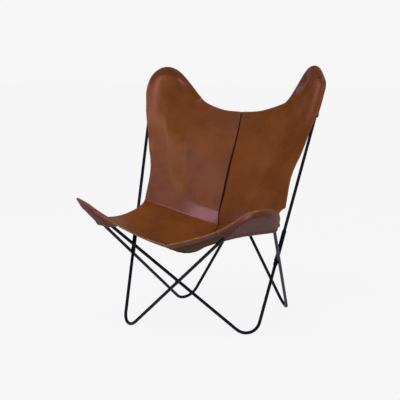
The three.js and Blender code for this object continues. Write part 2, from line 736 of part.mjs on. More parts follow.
// The origin is on the floor under the middle of the chair.
const extent = new THREE.Box3().setFromObject(chair, true);
const middle = extent.getCenter(vec(0, 0, 0));
chair.position.set(-middle.x, -middle.y, -extent.min.z);
chair.updateMatrixWorld(true);

export default chair;
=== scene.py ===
# %% [markdown]
# Butterfly sling chair, dressed
#
# The real chair is two closed loops of steel rod that cross each other, and a leather sling that hangs
# from their four corners by pockets. The steel comes from the CAD file as it is. The leather could be
# draped by a cloth simulation, but a sewn sling has edges that a simulation would let slip. So each
# sheet is worked out from curves, and every run gives the same mesh. Lengths are in millimetres until
# a mesh is made, and then in metres.

import math

import bmesh
import bpy
import numpy as np
from mathutils import Matrix, Vector


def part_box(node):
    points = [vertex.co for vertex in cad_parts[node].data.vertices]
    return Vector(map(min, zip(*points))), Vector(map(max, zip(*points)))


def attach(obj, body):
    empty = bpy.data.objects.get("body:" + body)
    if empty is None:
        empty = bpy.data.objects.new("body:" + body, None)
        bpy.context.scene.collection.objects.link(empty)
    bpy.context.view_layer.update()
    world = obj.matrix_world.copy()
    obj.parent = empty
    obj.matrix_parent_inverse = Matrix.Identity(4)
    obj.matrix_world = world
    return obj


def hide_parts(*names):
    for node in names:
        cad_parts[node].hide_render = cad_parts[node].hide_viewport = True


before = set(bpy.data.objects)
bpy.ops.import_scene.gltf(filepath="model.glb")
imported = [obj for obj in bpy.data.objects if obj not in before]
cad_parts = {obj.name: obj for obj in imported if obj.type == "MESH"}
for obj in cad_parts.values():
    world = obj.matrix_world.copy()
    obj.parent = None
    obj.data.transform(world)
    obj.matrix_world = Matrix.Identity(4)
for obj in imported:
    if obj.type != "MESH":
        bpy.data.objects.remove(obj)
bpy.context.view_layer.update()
scene = bpy.context.scene
scene.view_settings.view_transform = "Standard"

# %% [markdown]
# Sizes of the rod frame
#
# Each loop is bent from straight rod, so a few sizes say it all: where the straight runs would meet,
# and how wide the bends are. They could be read off the meshes, but named sizes, the same as in the
# CAD file, are easier to follow. Spreads, reaches and heights go to the points where the straight runs
# would meet.

# %% Sizes of the rods
ROD_DIAMETER = 11
ROD = ROD_DIAMETER / 2
FRONT_FOOT_SPREAD = 472
BACK_FOOT_SPREAD = 404
FOOT_DEPTH = 504
FRONT_TIP_REACH = 222
FRONT_TIP_HEIGHT = 504
BACK_TIP_SPREAD = 685
BACK_TIP_REACH = 571
BACK_TIP_HEIGHT = 950
FOOT_BEND = 53
FRONT_BEND = 66
BACK_BEND = 54
FOOT_FLAT = 0.5
SEAT_GAP = 0.3
WELD_WEB = 0.6
SLEEVE_DIAMETER = 15
print("rod", ROD_DIAMETER, "mm, feet", FRONT_FOOT_SPREAD, "and", BACK_FOOT_SPREAD, "mm apart")

# %% [markdown]
# The corners of the two loops
#
# The feet stand on their bends, not on their corners, and the side rods of one loop pass the sleeves
# of the other. Neither can be written down as one number, because each depends on the rest. So the
# corners are placed, the bends are measured, and the feet and the tips are moved a few times until
# they settle. The CAD file does the same.

# %% Small geometry helpers
def vec(*values):
    return np.array(values, float)


def unit(v):
    return v / np.linalg.norm(v)


def bend_lowest(before, corner, after, radius):
    """Height of the lowest centre-line point of a bend, before the corner is lowered."""
    back, ahead = unit(before - corner), unit(after - corner)
    half = math.acos(np.clip(back @ ahead, -1, 1)) / 2
    centre = corner + unit(back + ahead) * radius / math.sin(half)
    normal = unit(np.cross(back, ahead))
    return centre[2] - radius * math.sqrt(1 - normal[2] ** 2)


def crossing(a, b, c, d):
    """The nearest points of two straight runs, their gap and its direction."""
    u, v = b - a, d - c
    normal = np.cross(u, v)
    first = a + u * (np.cross(c - a, v) @ normal) / (normal @ normal)
    second = c + v * (np.cross(c - a, u) @ normal) / (normal @ normal)
    return first, second, np.linalg.norm(second - first), unit(normal)


print("runs 3 apart have a gap of", crossing(vec(0, 0, 0), vec(2, 0, 0), vec(1, -1, 3), vec(1, 1, 3))[2])

# %% One loop of rod
class Loop:
    """A loop's front foot and back tip are on its own side, its back foot and front tip on the other."""

    pitch = ROD_DIAMETER + WELD_WEB + 2 * SEAT_GAP

    def __init__(self, side):
        self.side = side
        self.front_rise = self.back_rise = 0.0

    def place(self, tip_spread):
        def set_off(reach, rise):
            return self.side * self.pitch / 2 * math.hypot(reach, rise) / rise

        front = set_off(FRONT_TIP_REACH, FRONT_TIP_HEIGHT - self.front_rise)
        back = set_off(BACK_TIP_REACH - FOOT_DEPTH, BACK_TIP_HEIGHT - self.back_rise)
        s = self.side
        self.front_foot = vec(s * FRONT_FOOT_SPREAD / 2, front, self.front_rise)
        self.back_tip = vec(s * BACK_TIP_SPREAD / 2, BACK_TIP_REACH + back, BACK_TIP_HEIGHT)
        self.back_foot = vec(-s * BACK_FOOT_SPREAD / 2, FOOT_DEPTH + back, self.back_rise)
        self.front_tip = vec(-s * tip_spread / 2, front - FRONT_TIP_REACH, FRONT_TIP_HEIGHT)

    def stand(self):
        """Move the feet until their bends touch the floor."""
        foot = ROD - FOOT_FLAT
        self.front_rise += foot - bend_lowest(self.front_tip, self.front_foot, self.back_tip, FOOT_BEND)
        self.back_rise += foot - bend_lowest(self.front_tip, self.back_foot, self.back_tip, FOOT_BEND)

    def spread_past(self, other, tip_spread):
        """The spread of the front tips at which this side rod clears the other loop's sleeve."""
        _, near, gap, normal = crossing(other.front_foot, other.back_tip, self.back_foot, self.front_tip)
        reach = (near[2] - self.back_rise) / (FRONT_TIP_HEIGHT - self.back_rise)
        room = ROD + SLEEVE_DIAMETER / 2 + SEAT_GAP - gap
        return tip_spread + room * 2 / (abs(normal[0]) * reach)


left_loop, right_loop = Loop(-1), Loop(1)
print("the loops lie", left_loop.pitch, "mm apart where they cross")

# %% Let the loops settle
SETTLE_ROUNDS = 9
tip_spread = BACK_TIP_SPREAD
for settle in range(SETTLE_ROUNDS):
    for loop in (left_loop, right_loop):
        loop.place(tip_spread)
    spreads = []
    for loop, other in ((left_loop, right_loop), (right_loop, left_loop)):
        loop.stand()
        spreads.append(loop.spread_past(other, tip_spread))
    tip_spread = max(spreads)
print("front tips", round(tip_spread, 1), "mm apart")

# %% [markdown]
# Where the CAD file put the chair
#
# The CAD file centres the chair on the origin, so its solids are moved against the sizes above. The
# move could be repeated as a number, but then it would be wrong after the next change. The front weld
# and the two lower rods are in the frame, and their boxes say by how much everything was moved.

# %% The move from the sizes to the frame
MM = 1000
weld_low, weld_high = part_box("front_weld")
first, second, _, _ = crossing(left_loop.front_foot, left_loop.front_tip,
                               right_loop.front_foot, right_loop.front_tip)
shift = np.array((weld_low + weld_high) / 2) * MM - (first + second) / 2
shift[0] = (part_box("base_rod_left")[0][0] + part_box("base_rod_right")[1][0]) * MM / 2
shift[2] = 0


def metres(points):
    return (np.asarray(points) + shift) / MM


print("frame moved by", shift.round(2), "mm")

# %% [markdown]
# Sizes of the sling
#
# The sling is cut from saddle hide a little over 3 mm thick: two halves of the back, two of the seat
# and four pockets. The middle seam runs down from the top edge into the crease and out again to the
# front edge. Its low places and its two notches at the sides are places in space, given here and
# matched to the photograph. The same values are in the CAD file.

# %% Sizes of the leather
LEATHER = 3.2
CREASE = (0, 306, 312)
TOP_MIDDLE = (0, 552, 704)
FRONT_MIDDLE = (0, -192, 320)
SEAT_LOW = 258
NOTCH = (265, 257, 400)
SIDE_SAG = 28
SEAT_CROWN = 13
FRONT_BOW = 9
# Each hood: the run to the end of its rim, its way beyond the rod and its height proud of it.
BACK_HOOD = (178, 25, 40)
FRONT_HOOD = (150, 30, 12)
HOOD_ROOM = 0.65
# The rod's print in the leather over it: room, width and softness.
PRINT_ROOM = 1.2
PRINT_WIDTH = 16
PRINT_SOFT = 3
OVER_ROD = ROD + SEAT_GAP + LEATHER / 2
print("the middle of the leather runs", OVER_ROD, "mm from the middle of the rod")

# %% [markdown]
# A hoop seen in its own plane
#
# A hood bends round the rod's corner, so its places are easier to give along the rod than in x, y and
# z. An empty parented to the corner would do this in Blender by hand. Here a small class keeps the
# three directions: down from the tip along the middle, out towards the chair's side, and proud towards
# the sitter. A run is the way along the rod from the tip, positive on the outer leg.

# %% The hoop and its leather
class Hoop:
    def __init__(self, tip, outer_end, inner_end, sitter, bend):
        outer, inner = unit(outer_end - tip), unit(inner_end - tip)
        self.tip, self.bend = tip, bend
        self.half = math.acos(outer @ inner) / 2
        self.down, self.out = unit(outer + inner), unit(outer - inner)
        self.proud = np.cross(self.down, self.out)
        if self.proud @ (sitter - tip) < 0:
            self.proud = -self.proud
        self.centre = bend / math.sin(self.half)
        self.run_in = bend / math.tan(self.half)
        self.sweep = math.pi / 2 - self.half

    def world(self, down, out, proud):
        return self.tip + self.down * down + self.out * out + self.proud * proud

    def local(self, point):
        d = point - self.tip
        return d @ self.down, d @ self.out, d @ self.proud

    def rod_at(self, run):
        """The rod's place at a run, and the way out of the bend there."""
        sign = -1 if run < 0 else 1
        arc = self.bend * self.sweep
        turn = min(abs(run), arc) / self.bend
        straight = max(abs(run) - arc, 0)
        down = self.centre - self.bend * math.cos(turn) + straight * math.sin(turn)
        out = sign * (self.bend * math.sin(turn) + straight * math.cos(turn))
        return down, out, (-math.cos(turn), sign * math.sin(turn))

    def rim(self, run, beyond, proud):
        down, out, away = self.rod_at(run)
        return self.world(down + away[0] * beyond, out + away[1] * beyond, proud)

    def nearest(self, down, out):
        """How far a point of the plane is beyond the rod's centre line, and the nearest run."""
        sign = -1 if out < 0 else 1
        across = abs(out)
        along = down * math.cos(self.half) + across * math.sin(self.half)
        arc = self.bend * self.sweep
        if along > self.run_in:
            beyond = across * math.cos(self.half) - down * math.sin(self.half)
            return beyond, sign * (arc + along - self.run_in)
        turn = min(math.atan2(across, self.centre - down), self.sweep)
        return math.hypot(across, self.centre - down) - self.bend, sign * turn * self.bend

    def lift(self, point):
        """Leather that lies over the rod stands proud of it."""
        down, out, proud = self.local(point)
        beyond, _ = self.nearest(down, out)
        over = (OVER_ROD + PRINT_ROOM) * math.exp(-((beyond / PRINT_WIDTH) ** 2) / 2)
        lifted = (proud + over + math.hypot(proud - over, PRINT_SOFT)) / 2
        return point + self.proud * (lifted - proud)


back_hoops, front_hoops = {}, {}
for side, own, other in ((-1, left_loop, right_loop), (1, right_loop, left_loop)):
    back_hoops[side] = Hoop(own.back_tip, own.front_foot, own.back_foot, vec(*FRONT_MIDDLE), BACK_BEND)
    front_hoops[side] = Hoop(other.front_tip, other.back_foot, other.front_foot, vec(*TOP_MIDDLE), FRONT_BEND)
print("half the angle at a back tip:", round(math.degrees(back_hoops[1].half), 1), "degrees")

# %% [markdown]
# Outlines of the sling
#
# What makes this chair is its outline: hoods that stand up round the tips, wings in front, and long
# slack edges between them. A person would draw these as curves over the photograph. Here a curve has a
# few places, given as shares, so that it follows when a size changes. A rim row is run, beyond and
# proud as shares of the hood's three sizes, and the other rows are shares of the way between two
# known points. The left and right rims differ, as on the real chair.

# %% Shares of the hoods' rims
BACK_RIM_SHARES = {
    -1: [
        (1, 0.64, 0.07), (0.86, 0.72, 0.03), (0.54, 0.9, 0.03), (0.3, 0.72, 0.26), (0.14, 0.76, 0.56),
        (0, 0.84, 0.84), (-0.14, 0.74, 1), (-0.3, 0.72, 1.04), (-0.57, 1.44, 0.88), (-0.9, 2.1, 0.84),
    ],
    1: [
        (1, 0.7, 0.07), (0.86, 0.84, 0.03), (0.54, 0.88, 0.05), (0.3, 0.7, 0.3), (0.14, 1.04, 0.6),
        (0, 1.4, 0.9), (-0.14, 1.3, 1.04), (-0.3, 0.83, 1.04), (-0.57, 1.34, 0.88), (-0.9, 2, 0.84),
    ],
}
FRONT_RIM_SHARES = {
    -1: [
        (-0.95, 1.22, 1), (-0.53, 0.38, 0.5), (-0.24, 0.3, 0.55), (0, 0.6, 0.2), (0.13, 0.98, 0.05),
        (0.33, 0.5, 0.2), (0.51, 0.7, 0.4), (0.73, 0.74, 0.4), (1, 0.63, 0.66),
    ],
    1: [
        (-0.95, 1.22, 1.1), (-0.53, 0.38, 0.85), (-0.24, 0.33, 1), (0, 0.6, 0.55), (0.13, 0.74, 0.2),
        (0.33, 0.8, 0.55), (0.51, 0.88, 0.6), (0.73, 0.82, 0.4), (0.97, 0.57, 0.9),
    ],
}
print("places on a back rim and a front rim:", len(BACK_RIM_SHARES[1]), "and", len(FRONT_RIM_SHARES[1]))

# %% Shares of the open edges and the seam
TOP_EDGE_SHARES = [(0.43, 0.1, 0.13), (0.83, 0.42, 0.63)]
BACK_SIDE_SHARES = [(0.04, 0.39, 0.35), (0.51, 0.69, 0.64), (0.88, 0.91, 0.9)]
FRONT_EDGE_SHARES = [(0.47, 0.47, 0.41)]
BACK_SEAM_SHARES = [
    (0, 0.01, 0.07), (0, 0.04, 0.143), (0, 0.114, 0.2), (0, 0.24, 0.31),
    (0, 0.37, 0.44), (0, 0.52, 0.57), (0, 0.695, 0.7), (0, 0.846, 0.834),
]
# The seat's seam: a share of the way from the front to the crease, and of the sag below it. The
# seat's side: shares of the way in and along from the notch to the wing, and of the sag below it.
SEAT_SEAM_SHARES = [
    (0.11, 0.32), (0.26, 0.66), (0.41, 0.89), (0.56, 1), (0.68, 0.96), (0.79, 0.76), (0.9, 0.42),
]
SEAT_SIDE_SHARES = [(-0.1, 0.14, 0.25), (0.05, 0.315, 0.66), (0.4, 0.5, 1), (0.72, 0.75, 0.8)]
print("places on the middle seam:", len(BACK_SEAM_SHARES) + len(SEAT_SEAM_SHARES) + 3)

# %% [markdown]
# Smooth edges
#
# A curve through a few places can bulge between them. Blender's own Bezier handles can be set to avoid
# that one by one. A centripetal Catmull-Rom curve does it by itself: it passes through every place and
# makes no loops where two places are close. Each part of the edge is then cut into equal cells, with
# fixed numbers on the open part, on the hood's side and at the bend, so that opposite edges match.

# %% Curves through a few places
CURVE_STEPS = 48
TINY = 1e-6


def way(start, end, shares):
    return [start + (end - start) * vec(*share) for share in shares]


def run_along(line):
    """The way from the first point of a line to each of its points."""
    return np.concatenate([[0], np.cumsum(np.linalg.norm(np.diff(line, axis=0), axis=1))])


def smooth(points):
    """A centripetal Catmull-Rom curve through the points, finely sampled."""
    p = [2 * points[0] - points[1], *points, 2 * points[-1] - points[-2]]
    out = []
    for a, b, c, d in zip(p, p[1:], p[2:], p[3:]):
        gaps = [max(np.linalg.norm(y - x), TINY) ** 0.5 for x, y in ((a, b), (b, c), (c, d))]
        t = np.cumsum([0.0] + gaps)
        for s in np.linspace(t[1], t[2], CURVE_STEPS, endpoint=False):
            e = [(t[1] - s) / (t[1] - t[0]) * a + (s - t[0]) / (t[1] - t[0]) * b,
                 (t[2] - s) / (t[2] - t[1]) * b + (s - t[1]) / (t[2] - t[1]) * c,
                 (t[3] - s) / (t[3] - t[2]) * c + (s - t[2]) / (t[3] - t[2]) * d]
            f = [(t[2] - s) / (t[2] - t[0]) * e[0] + (s - t[0]) / (t[2] - t[0]) * e[1],
                 (t[3] - s) / (t[3] - t[1]) * e[1] + (s - t[1]) / (t[3] - t[1]) * e[2]]
            out.append((t[2] - s) / (t[2] - t[1]) * f[0] + (s - t[1]) / (t[2] - t[1]) * f[1])
    return np.array(out + [points[-1]])


arch = smooth([vec(0, 0, 0), vec(50, 20, 0), vec(100, 0, 0)])
print("an arch through 3 places has", len(arch), "points and is", round(run_along(arch)[-1], 1), "mm long")

# %% Edges cut into cells
CELLS = 18
POCKET_CELLS = 9
BEND_CELLS = 5
OPEN_CELLS = CELLS - POCKET_CELLS
BEND_STATIONS = 2


def edge_cells(points, stops=(), ahead=()):
    """The edge's points at the cells. A stop is a point with the number of cells before it."""
    line = smooth([*points, *ahead])
    length = run_along(line)
    marks = [(0, 0), *stops, (len(points) - 1, CELLS)]
    out = []
    for cell in range(CELLS + 1):
        k = max(next(i for i, (_, cells) in enumerate(marks) if cells >= cell), 1)
        (p0, c0), (p1, c1) = marks[k - 1], marks[k]
        start, end = length[p0 * CURVE_STEPS], length[p1 * CURVE_STEPS]
        at = start + (end - start) * (cell - c0) / (c1 - c0)
        out.append(np.array([np.interp(at, length, line[:, axis]) for axis in range(3)]))
    return out


def hood_edge(open_part, rim, ahead):
    """An open edge that goes on as the rim of a hood, and ahead to the next place of the rim."""
    stops = [(len(open_part), OPEN_CELLS),
             (len(open_part) + len(rim) - 1 - BEND_STATIONS, CELLS - BEND_CELLS)]
    return edge_cells([*open_part, *rim], stops, [ahead])


print("an edge has", OPEN_CELLS, "open cells and", POCKET_CELLS, "on the hood,", BEND_CELLS, "at its bend")

# %% [markdown]
# The skin between four edges
#
# A slack panel of leather takes the smoothest surface that its edges allow. In Blender, Grid Fill
# makes one from an edge loop. Its formula is the Coons patch, which is written out here, because the
# outermost row of cells has to be set apart: there the hood folds round the rod and stands off it by
# half the leather's thickness and a little room.

# %% One panel
FOLD_SHARE = 0.62
EASE_CELLS = 4
# A crown of u * (1 - u) ** 2 each way peaks at 4 / 27, so this scale brings its top to 1.
CROWN_SCALE = (27 / 4) ** 2


def between(bottom, top, inner, outer, i, j):
    """A point of the Coons patch between four edges."""
    last = len(bottom) - 1
    u, v = i / last, j / last
    flat = (bottom[0] * (1 - u) + bottom[last] * u) * (1 - v) + (top[0] * (1 - u) + top[last] * u) * v
    return bottom[i] * (1 - v) + top[i] * v + inner[j] * (1 - u) + outer[j] * u - flat


def fold_line(hoop, edge, inset):
    """The line next to an edge, where the hood turns over the rod."""
    inner, bend_start = CELLS - 1, CELLS - BEND_CELLS
    points = []
    for k in range(inner + 1):
        easy = hoop.lift(inset(k))
        if k >= OPEN_CELLS:
            down, out, _ = hoop.local(edge[min(k, bend_start)])
            _, run = hoop.nearest(down, out)
            run *= min((inner - k) / (inner - bend_start), 1)
            height = max(OVER_ROD + HOOD_ROOM, FOLD_SHARE * hoop.local(edge[k])[2])
            share = min((k - OPEN_CELLS + 1) / EASE_CELLS, 1)
            share = share * share * (3 - 2 * share)
            easy = easy + (hoop.rim(run, 0, height) - easy) * share
        points.append(easy)
    return points


def panel(hoop, crease, far, seam, side, crown):
    """The panel's grid [on from the crease][outwards from the middle seam]."""
    inner = CELLS - 1
    fold_side = fold_line(hoop, side, lambda j: between(crease, far, seam, side, inner, j))
    fold_far = fold_line(hoop, far, lambda i: between(crease, far, seam, side, i, inner))
    bottom, left = [*crease[:inner], fold_side[0]], [*seam[:inner], fold_far[0]]
    grid = np.zeros((CELLS + 1, CELLS + 1, 3))
    for j in range(CELLS + 1):
        for i in range(CELLS + 1):
            if i == CELLS or j == CELLS:
                grid[j, i] = hoop.lift(side[j] if i == CELLS else far[i])
                continue
            point = between(bottom, fold_far, left, fold_side, i, j)
            u, v = i / inner, j / inner
            point = point + vec(0, 0, crown * (CROWN_SCALE * u * (1 - u) ** 2 * v * (1 - v) ** 2))
            grid[j, i] = point if i == inner or j == inner else hoop.lift(point)
    return grid


print("a panel's grid is", CELLS + 1, "by", CELLS + 1, "points")

# %% The two halves of the sling
crease, top, front = vec(*CREASE), vec(*TOP_MIDDLE), vec(*FRONT_MIDDLE)


def rim_places(hoop, rim_shares, hood):
    """The places of a rim, and the number of the one at the hoop's tip."""
    places = [hoop.rim(*(share * size for share, size in zip(row, hood))) for row in rim_shares]
    return places, next(i for i, row in enumerate(rim_shares) if row[0] == 0)


def half_sling(side):
    """The grids of one half of the back and one half of the seat."""
    notch = vec(side * NOTCH[0], *NOTCH[1:])
    back_rim, back_tip = rim_places(back_hoops[side], BACK_RIM_SHARES[side], BACK_HOOD)
    front_rim, front_tip = rim_places(front_hoops[side], FRONT_RIM_SHARES[side], FRONT_HOOD)
    crease_line = edge_cells([crease, (crease + notch) / 2, notch])
    back_seam = edge_cells([crease, *way(crease, top, BACK_SEAM_SHARES), top])
    dips = []
    for back, low in reversed(SEAT_SEAM_SHARES):
        level = front + (crease - front) * back
        dips.append(vec(0, level[1], level[2] + (SEAT_LOW - level[2]) * low))
    seat_seam = edge_cells([crease, *dips, front])
    back_side = hood_edge([notch, *way(notch, back_rim[0], BACK_SIDE_SHARES)], back_rim[: back_tip + 1],
                          back_rim[back_tip + 1])
    top_edge = hood_edge([top, *way(top, back_rim[-1], TOP_EDGE_SHARES)], back_rim[back_tip:][::-1],
                         back_rim[back_tip - 1])
    sag = [way(notch, front_rim[-1], [(a, b, b)])[0] - vec(0, 0, c * SIDE_SAG)
           for a, b, c in SEAT_SIDE_SHARES]
    seat_side = hood_edge([notch, *sag], front_rim[front_tip:][::-1], front_rim[front_tip - 1])
    bow = [p - vec(0, FRONT_BOW, 0) for p in way(front, front_rim[0], FRONT_EDGE_SHARES)]
    front_edge = hood_edge([front, *bow], front_rim[: front_tip + 1], front_rim[front_tip + 1])
    back = panel(back_hoops[side], crease_line, top_edge, back_seam, back_side, 0)
    seat = panel(front_hoops[side], crease_line, front_edge, seat_seam, seat_side, SEAT_CROWN)
    return back, seat


halves = {side: half_sling(side) for side in (-1, 1)}
print("sling laid out:", {("left", "right")[side > 0]: halves[side][0].shape for side in halves})

# %% [markdown]
# From a coarse grid to a smooth skin
#
# The grid has a point every few centimetres, and leather needs one every few millimetres, closer still
# at seams and cut edges. A Subdivision Surface would smooth it, but evenly, and it would pull the
# edges in. So the grid is read with Catmull-Rom weights at stations of our choice: the surface keeps
# every point of the grid, and the close stations go where the seam dips and the edge is rounded.

# %% Stations and weights
FINE = 6
NEAR_SEAM = [0, 0.4, 0.9, 1.6, 2.6, 4, 6, 9]
NEAR_EDGE = [0, 1.5, 4, 6.5, 9]
HEM_BAND, HEM_BAND_SOFT, HEM_END_SOFT = 48, 0.5, 0.3
NEAR_HEM = [0, 1.5, 4, 6.5, 9, 14, 24, 36, 46.5, 47.6, 48.4, 49.5]


def levels(cells, size, near_start, near_end):
    """Stations along a grid side, in cells, with close ones near both ends."""
    step = size / cells
    marks = set(np.linspace(0, cells, cells * FINE + 1).round(4))
    for near, at, sign in ((near_start, 0, 1), (near_end, cells, -1)):
        marks = {m for m in marks if abs(m - at) * step > near[-1] + 1 or m == at}
        marks |= {round(at + sign * d / step, 4) for d in near}
    return np.array(sorted(marks))


def spline_weights(at, count):
    """Rows of Catmull-Rom weights that read a side of count points at the given stations."""
    weights = np.zeros((len(at), count))
    for row, t in zip(weights, at):
        k = min(int(t), count - 2)
        s = t - k
        for o, w in zip((-1, 0, 1, 2), ((-s + 2 * s**2 - s**3) / 2, (2 - 5 * s**2 + 3 * s**3) / 2,
                                        (s + 4 * s**2 - 3 * s**3) / 2, (s**3 - s**2) / 2)):
            i = k + o
            if i < 0:
                row[0] += 2 * w
                row[1] -= w
            elif i >= count:
                row[-1] += 2 * w
                row[-2] -= w
            else:
                row[i] += w
    return weights


def refine(grid, down, across):
    a, b = spline_weights(down, grid.shape[0]), spline_weights(across, grid.shape[1])
    return np.einsum("ri,sj,ijk->rsk", a, b, grid)


print("a side of 500 mm gets", len(levels(CELLS, 500, NEAR_SEAM, NEAR_EDGE)), "stations")

# %% Normals and distances of a grid
NO_ZERO = 1e-12


def grid_normals(points, flip):
    n = np.cross(np.gradient(points, axis=1), np.gradient(points, axis=0))
    n /= np.linalg.norm(n, axis=2, keepdims=True) + NO_ZERO
    return -n if flip else n


def surface_steps(grid, axis):
    """Distance along the surface from the first row or column."""
    step = np.linalg.norm(np.diff(grid, axis=axis), axis=2)
    start = np.zeros_like(np.take(step, [0], axis=axis))
    return np.concatenate([start, np.cumsum(step, axis=axis)], axis=axis)


class Panel:
    """A refined panel with its normals and its distances from seams and open edges."""

    def __init__(self, grid, flip, hemmed=False):
        width = np.linalg.norm(grid[0, -1] - grid[0, 0])
        height = run_along(grid[:, 0])[-1]
        self.down = levels(CELLS, height, NEAR_SEAM, NEAR_HEM if hemmed else NEAR_EDGE)
        self.across = levels(CELLS, width, NEAR_SEAM, NEAR_EDGE)
        self.mid, self.flip = refine(grid, self.down, self.across), flip
        self.normals = grid_normals(self.mid, flip)
        self.measure()

    def measure(self):
        self.seam, self.crease = surface_steps(self.mid, 1), surface_steps(self.mid, 0)
        self.from_side, self.from_end = self.seam[:, -1:] - self.seam, self.crease[-1:] - self.crease
        self.edge = np.minimum(self.from_side, self.from_end)

    def front_hem(self):
        """1 on the band that is folded back under the open front edge, up to the pocket's mouth."""
        band = np.clip(HEM_BAND + HEM_BAND_SOFT - self.from_end, 0, 1)
        return band * np.clip((OPEN_CELLS - self.across) / HEM_END_SOFT, 0, 1)


panels = {}
for side, (back, seat) in halves.items():
    panels[side] = {"back": Panel(back, side < 0), "seat": Panel(seat, side > 0, hemmed=True)}
print("panel grid", panels[1]["back"].mid.shape, "and", panels[1]["seat"].mid.shape)

# %% [markdown]
# Relief
#
# Leather is never a mathematical skin. The seams pull it in, a little more at each stitch, the rod has
# pressed its shape into the hoods over the years, and the hide has slow waves. Displacement in the
# material could do all this, but the exported mesh would lose it. So the points themselves are moved
# along their normals, by amounts that depend on the distance from a seam or from the rod.

# %% Waves and dips
SEAM_GAP = 0.02
SEAM_DIP = 1.7
SEAM_PULL = 2.4
CREASE_DIP = 0.5
PUCKER_SHARE = 0.16
STITCH_PITCH = 5.2
WAVE, WAVE_SIZE = 0.5, 150
RIPPLE_SHARE, RIPPLE_SIZE = 0.3, 45
WAVE_FADE = 25
# A field of waves: how many sines it adds, the range of their sizes, and what their sum is divided by.
SINES, SINE_SIZES, SINES_LEVEL = 9, (0.6, 1.6), 5


def noise_field(points, size, seed):
    """Smooth waves with no pattern, mostly between -1 and 1: sums of a few slanted sines."""
    rng = np.random.default_rng(seed)
    total = np.zeros(points.shape[:-1])
    for k in range(SINES):
        wave = unit(rng.normal(size=3)) * 2 * math.pi / (size * rng.uniform(*SINE_SIZES))
        total += np.sin(points @ wave + rng.uniform(0, 2 * math.pi))
    return total / SINES_LEVEL


def waves(points, normals, edge, seed):
    """Slow waves with ripples on them, which fade out towards seams and edges."""
    fade = np.clip(edge / WAVE_FADE, 0, 1)[..., None]
    ripples = noise_field(points, RIPPLE_SIZE, seed + 1) * WAVE * RIPPLE_SHARE
    slow = noise_field(points, WAVE_SIZE, seed) * WAVE + ripples
    return points + normals * slow[..., None] * fade


def seam_dip(points, normals, distance, along, depth):
    """A seam sinks, more at each stitch than between two stitches."""
    pucker = 1 + PUCKER_SHARE * np.cos(2 * math.pi * along / STITCH_PITCH)
    dip = depth * np.exp(-((distance / SEAM_PULL) ** 2)) * pucker
    return points - normals * dip[..., None]


sample = noise_field(panels[1]["back"].mid, WAVE_SIZE, 1)
print("waves reach from", sample.min().round(2), "to", sample.max().round(2), "times", WAVE, "mm")

# %% The rod's ridge in the hoods
RIDGE, RIDGE_WIDTH = 0.9, 12
RIDGE_START, RIDGE_EASE = -10, 60
RIDGE_EDGE = 10
# Where a pink gleam is painted inside the rod: its way in from the rod, its width, where it ends and its
# fade.
GLEAM_INSIDE, GLEAM_WIDTH = 12, 9
GLEAM_END, GLEAM_EASE = 230, 130


def rod_ridge(points, normals, hoop, edge):
    """Points raised by the rod's print on the outer leg, and the band inside it where a pink gleam is
    painted.
    """
    found = np.array([hoop.nearest(*hoop.local(point)[:2]) for point in points.reshape(-1, 3)])
    beyond, run = found.reshape(*edge.shape, 2).transpose(2, 0, 1)
    outer_leg = np.clip((run - RIDGE_START) / RIDGE_EASE, 0, 1)
    rise = RIDGE * np.exp(-((beyond / RIDGE_WIDTH) ** 2) / 2) * outer_leg
    rub = np.exp(-(((beyond + GLEAM_INSIDE) / GLEAM_WIDTH) ** 2) / 2) * outer_leg
    rub = rub * np.clip((GLEAM_END - run) / GLEAM_EASE, 0, 1)
    return points + normals * (rise * np.clip(edge / RIDGE_EDGE, 0, 1))[..., None], rub


print("the ridge is", RIDGE, "mm high and about", 2 * RIDGE_WIDTH, "mm wide")

# %% Relief on the four panels
SEAM_FACING = 3.0
BACK_SEED, SEAT_SEED = 3, 8
OFF_SEAM = 5


def give_relief(piece, hoop, side, mitre, seed):
    """Ridge, waves and dips. At the middle seam and the crease the two sheets share their normals."""
    seam, crease_way = piece.seam, piece.crease
    fixed = np.minimum(np.minimum(seam, crease_way), piece.edge)
    piece.mid, piece.rub = rod_ridge(piece.mid, piece.normals, hoop, piece.edge)
    piece.mid = waves(piece.mid, piece.normals, fixed, seed + side)
    piece.mid = seam_dip(piece.mid, piece.normals, seam, crease_way, SEAM_DIP)
    piece.mid = seam_dip(piece.mid, piece.normals, crease_way, seam, CREASE_DIP)
    piece.normals = grid_normals(piece.mid, piece.flip)
    blend = np.exp(-((seam / SEAM_FACING) ** 2))[..., None]
    piece.normals -= piece.normals * (1, 0, 0) * blend
    piece.normals[0] = mitre
    piece.normals /= np.linalg.norm(piece.normals, axis=2, keepdims=True)
    piece.mid[:, 0, 0] = side * SEAM_GAP / 2


for side, pair in panels.items():
    back_panel, seat_panel = pair["back"], pair["seat"]
    mitre = back_panel.normals[0] + seat_panel.normals[0]
    mitre /= np.linalg.norm(mitre, axis=1, keepdims=True)
    give_relief(back_panel, back_hoops[side], side, mitre, BACK_SEED)
    give_relief(seat_panel, front_hoops[side], side, mitre, SEAT_SEED)
    apart = unit(back_panel.mid[1, OFF_SEAM] - seat_panel.mid[1, OFF_SEAM]) * SEAM_GAP / 2
    shared = (back_panel.mid[0] + seat_panel.mid[0]) / 2
    back_panel.mid[0], seat_panel.mid[0] = shared + apart, shared - apart
    print("side", side, "of the sling hangs down to", seat_panel.mid[..., 2].min().round(1), "mm")

# %% [markdown]
# Pockets
#
# A pocket is sewn under the rim of its hood. It goes straight to the rod, round it and on behind it to
# the middle, and its mouth is hemmed. It could be a solidified plane that is bent by hand. Here each
# strip of it is a short profile: from the sewn edge along the tangent to the rod, an arc round the
# rod, and a straight line on behind it. The strips from both legs of the hoop meet in the middle.

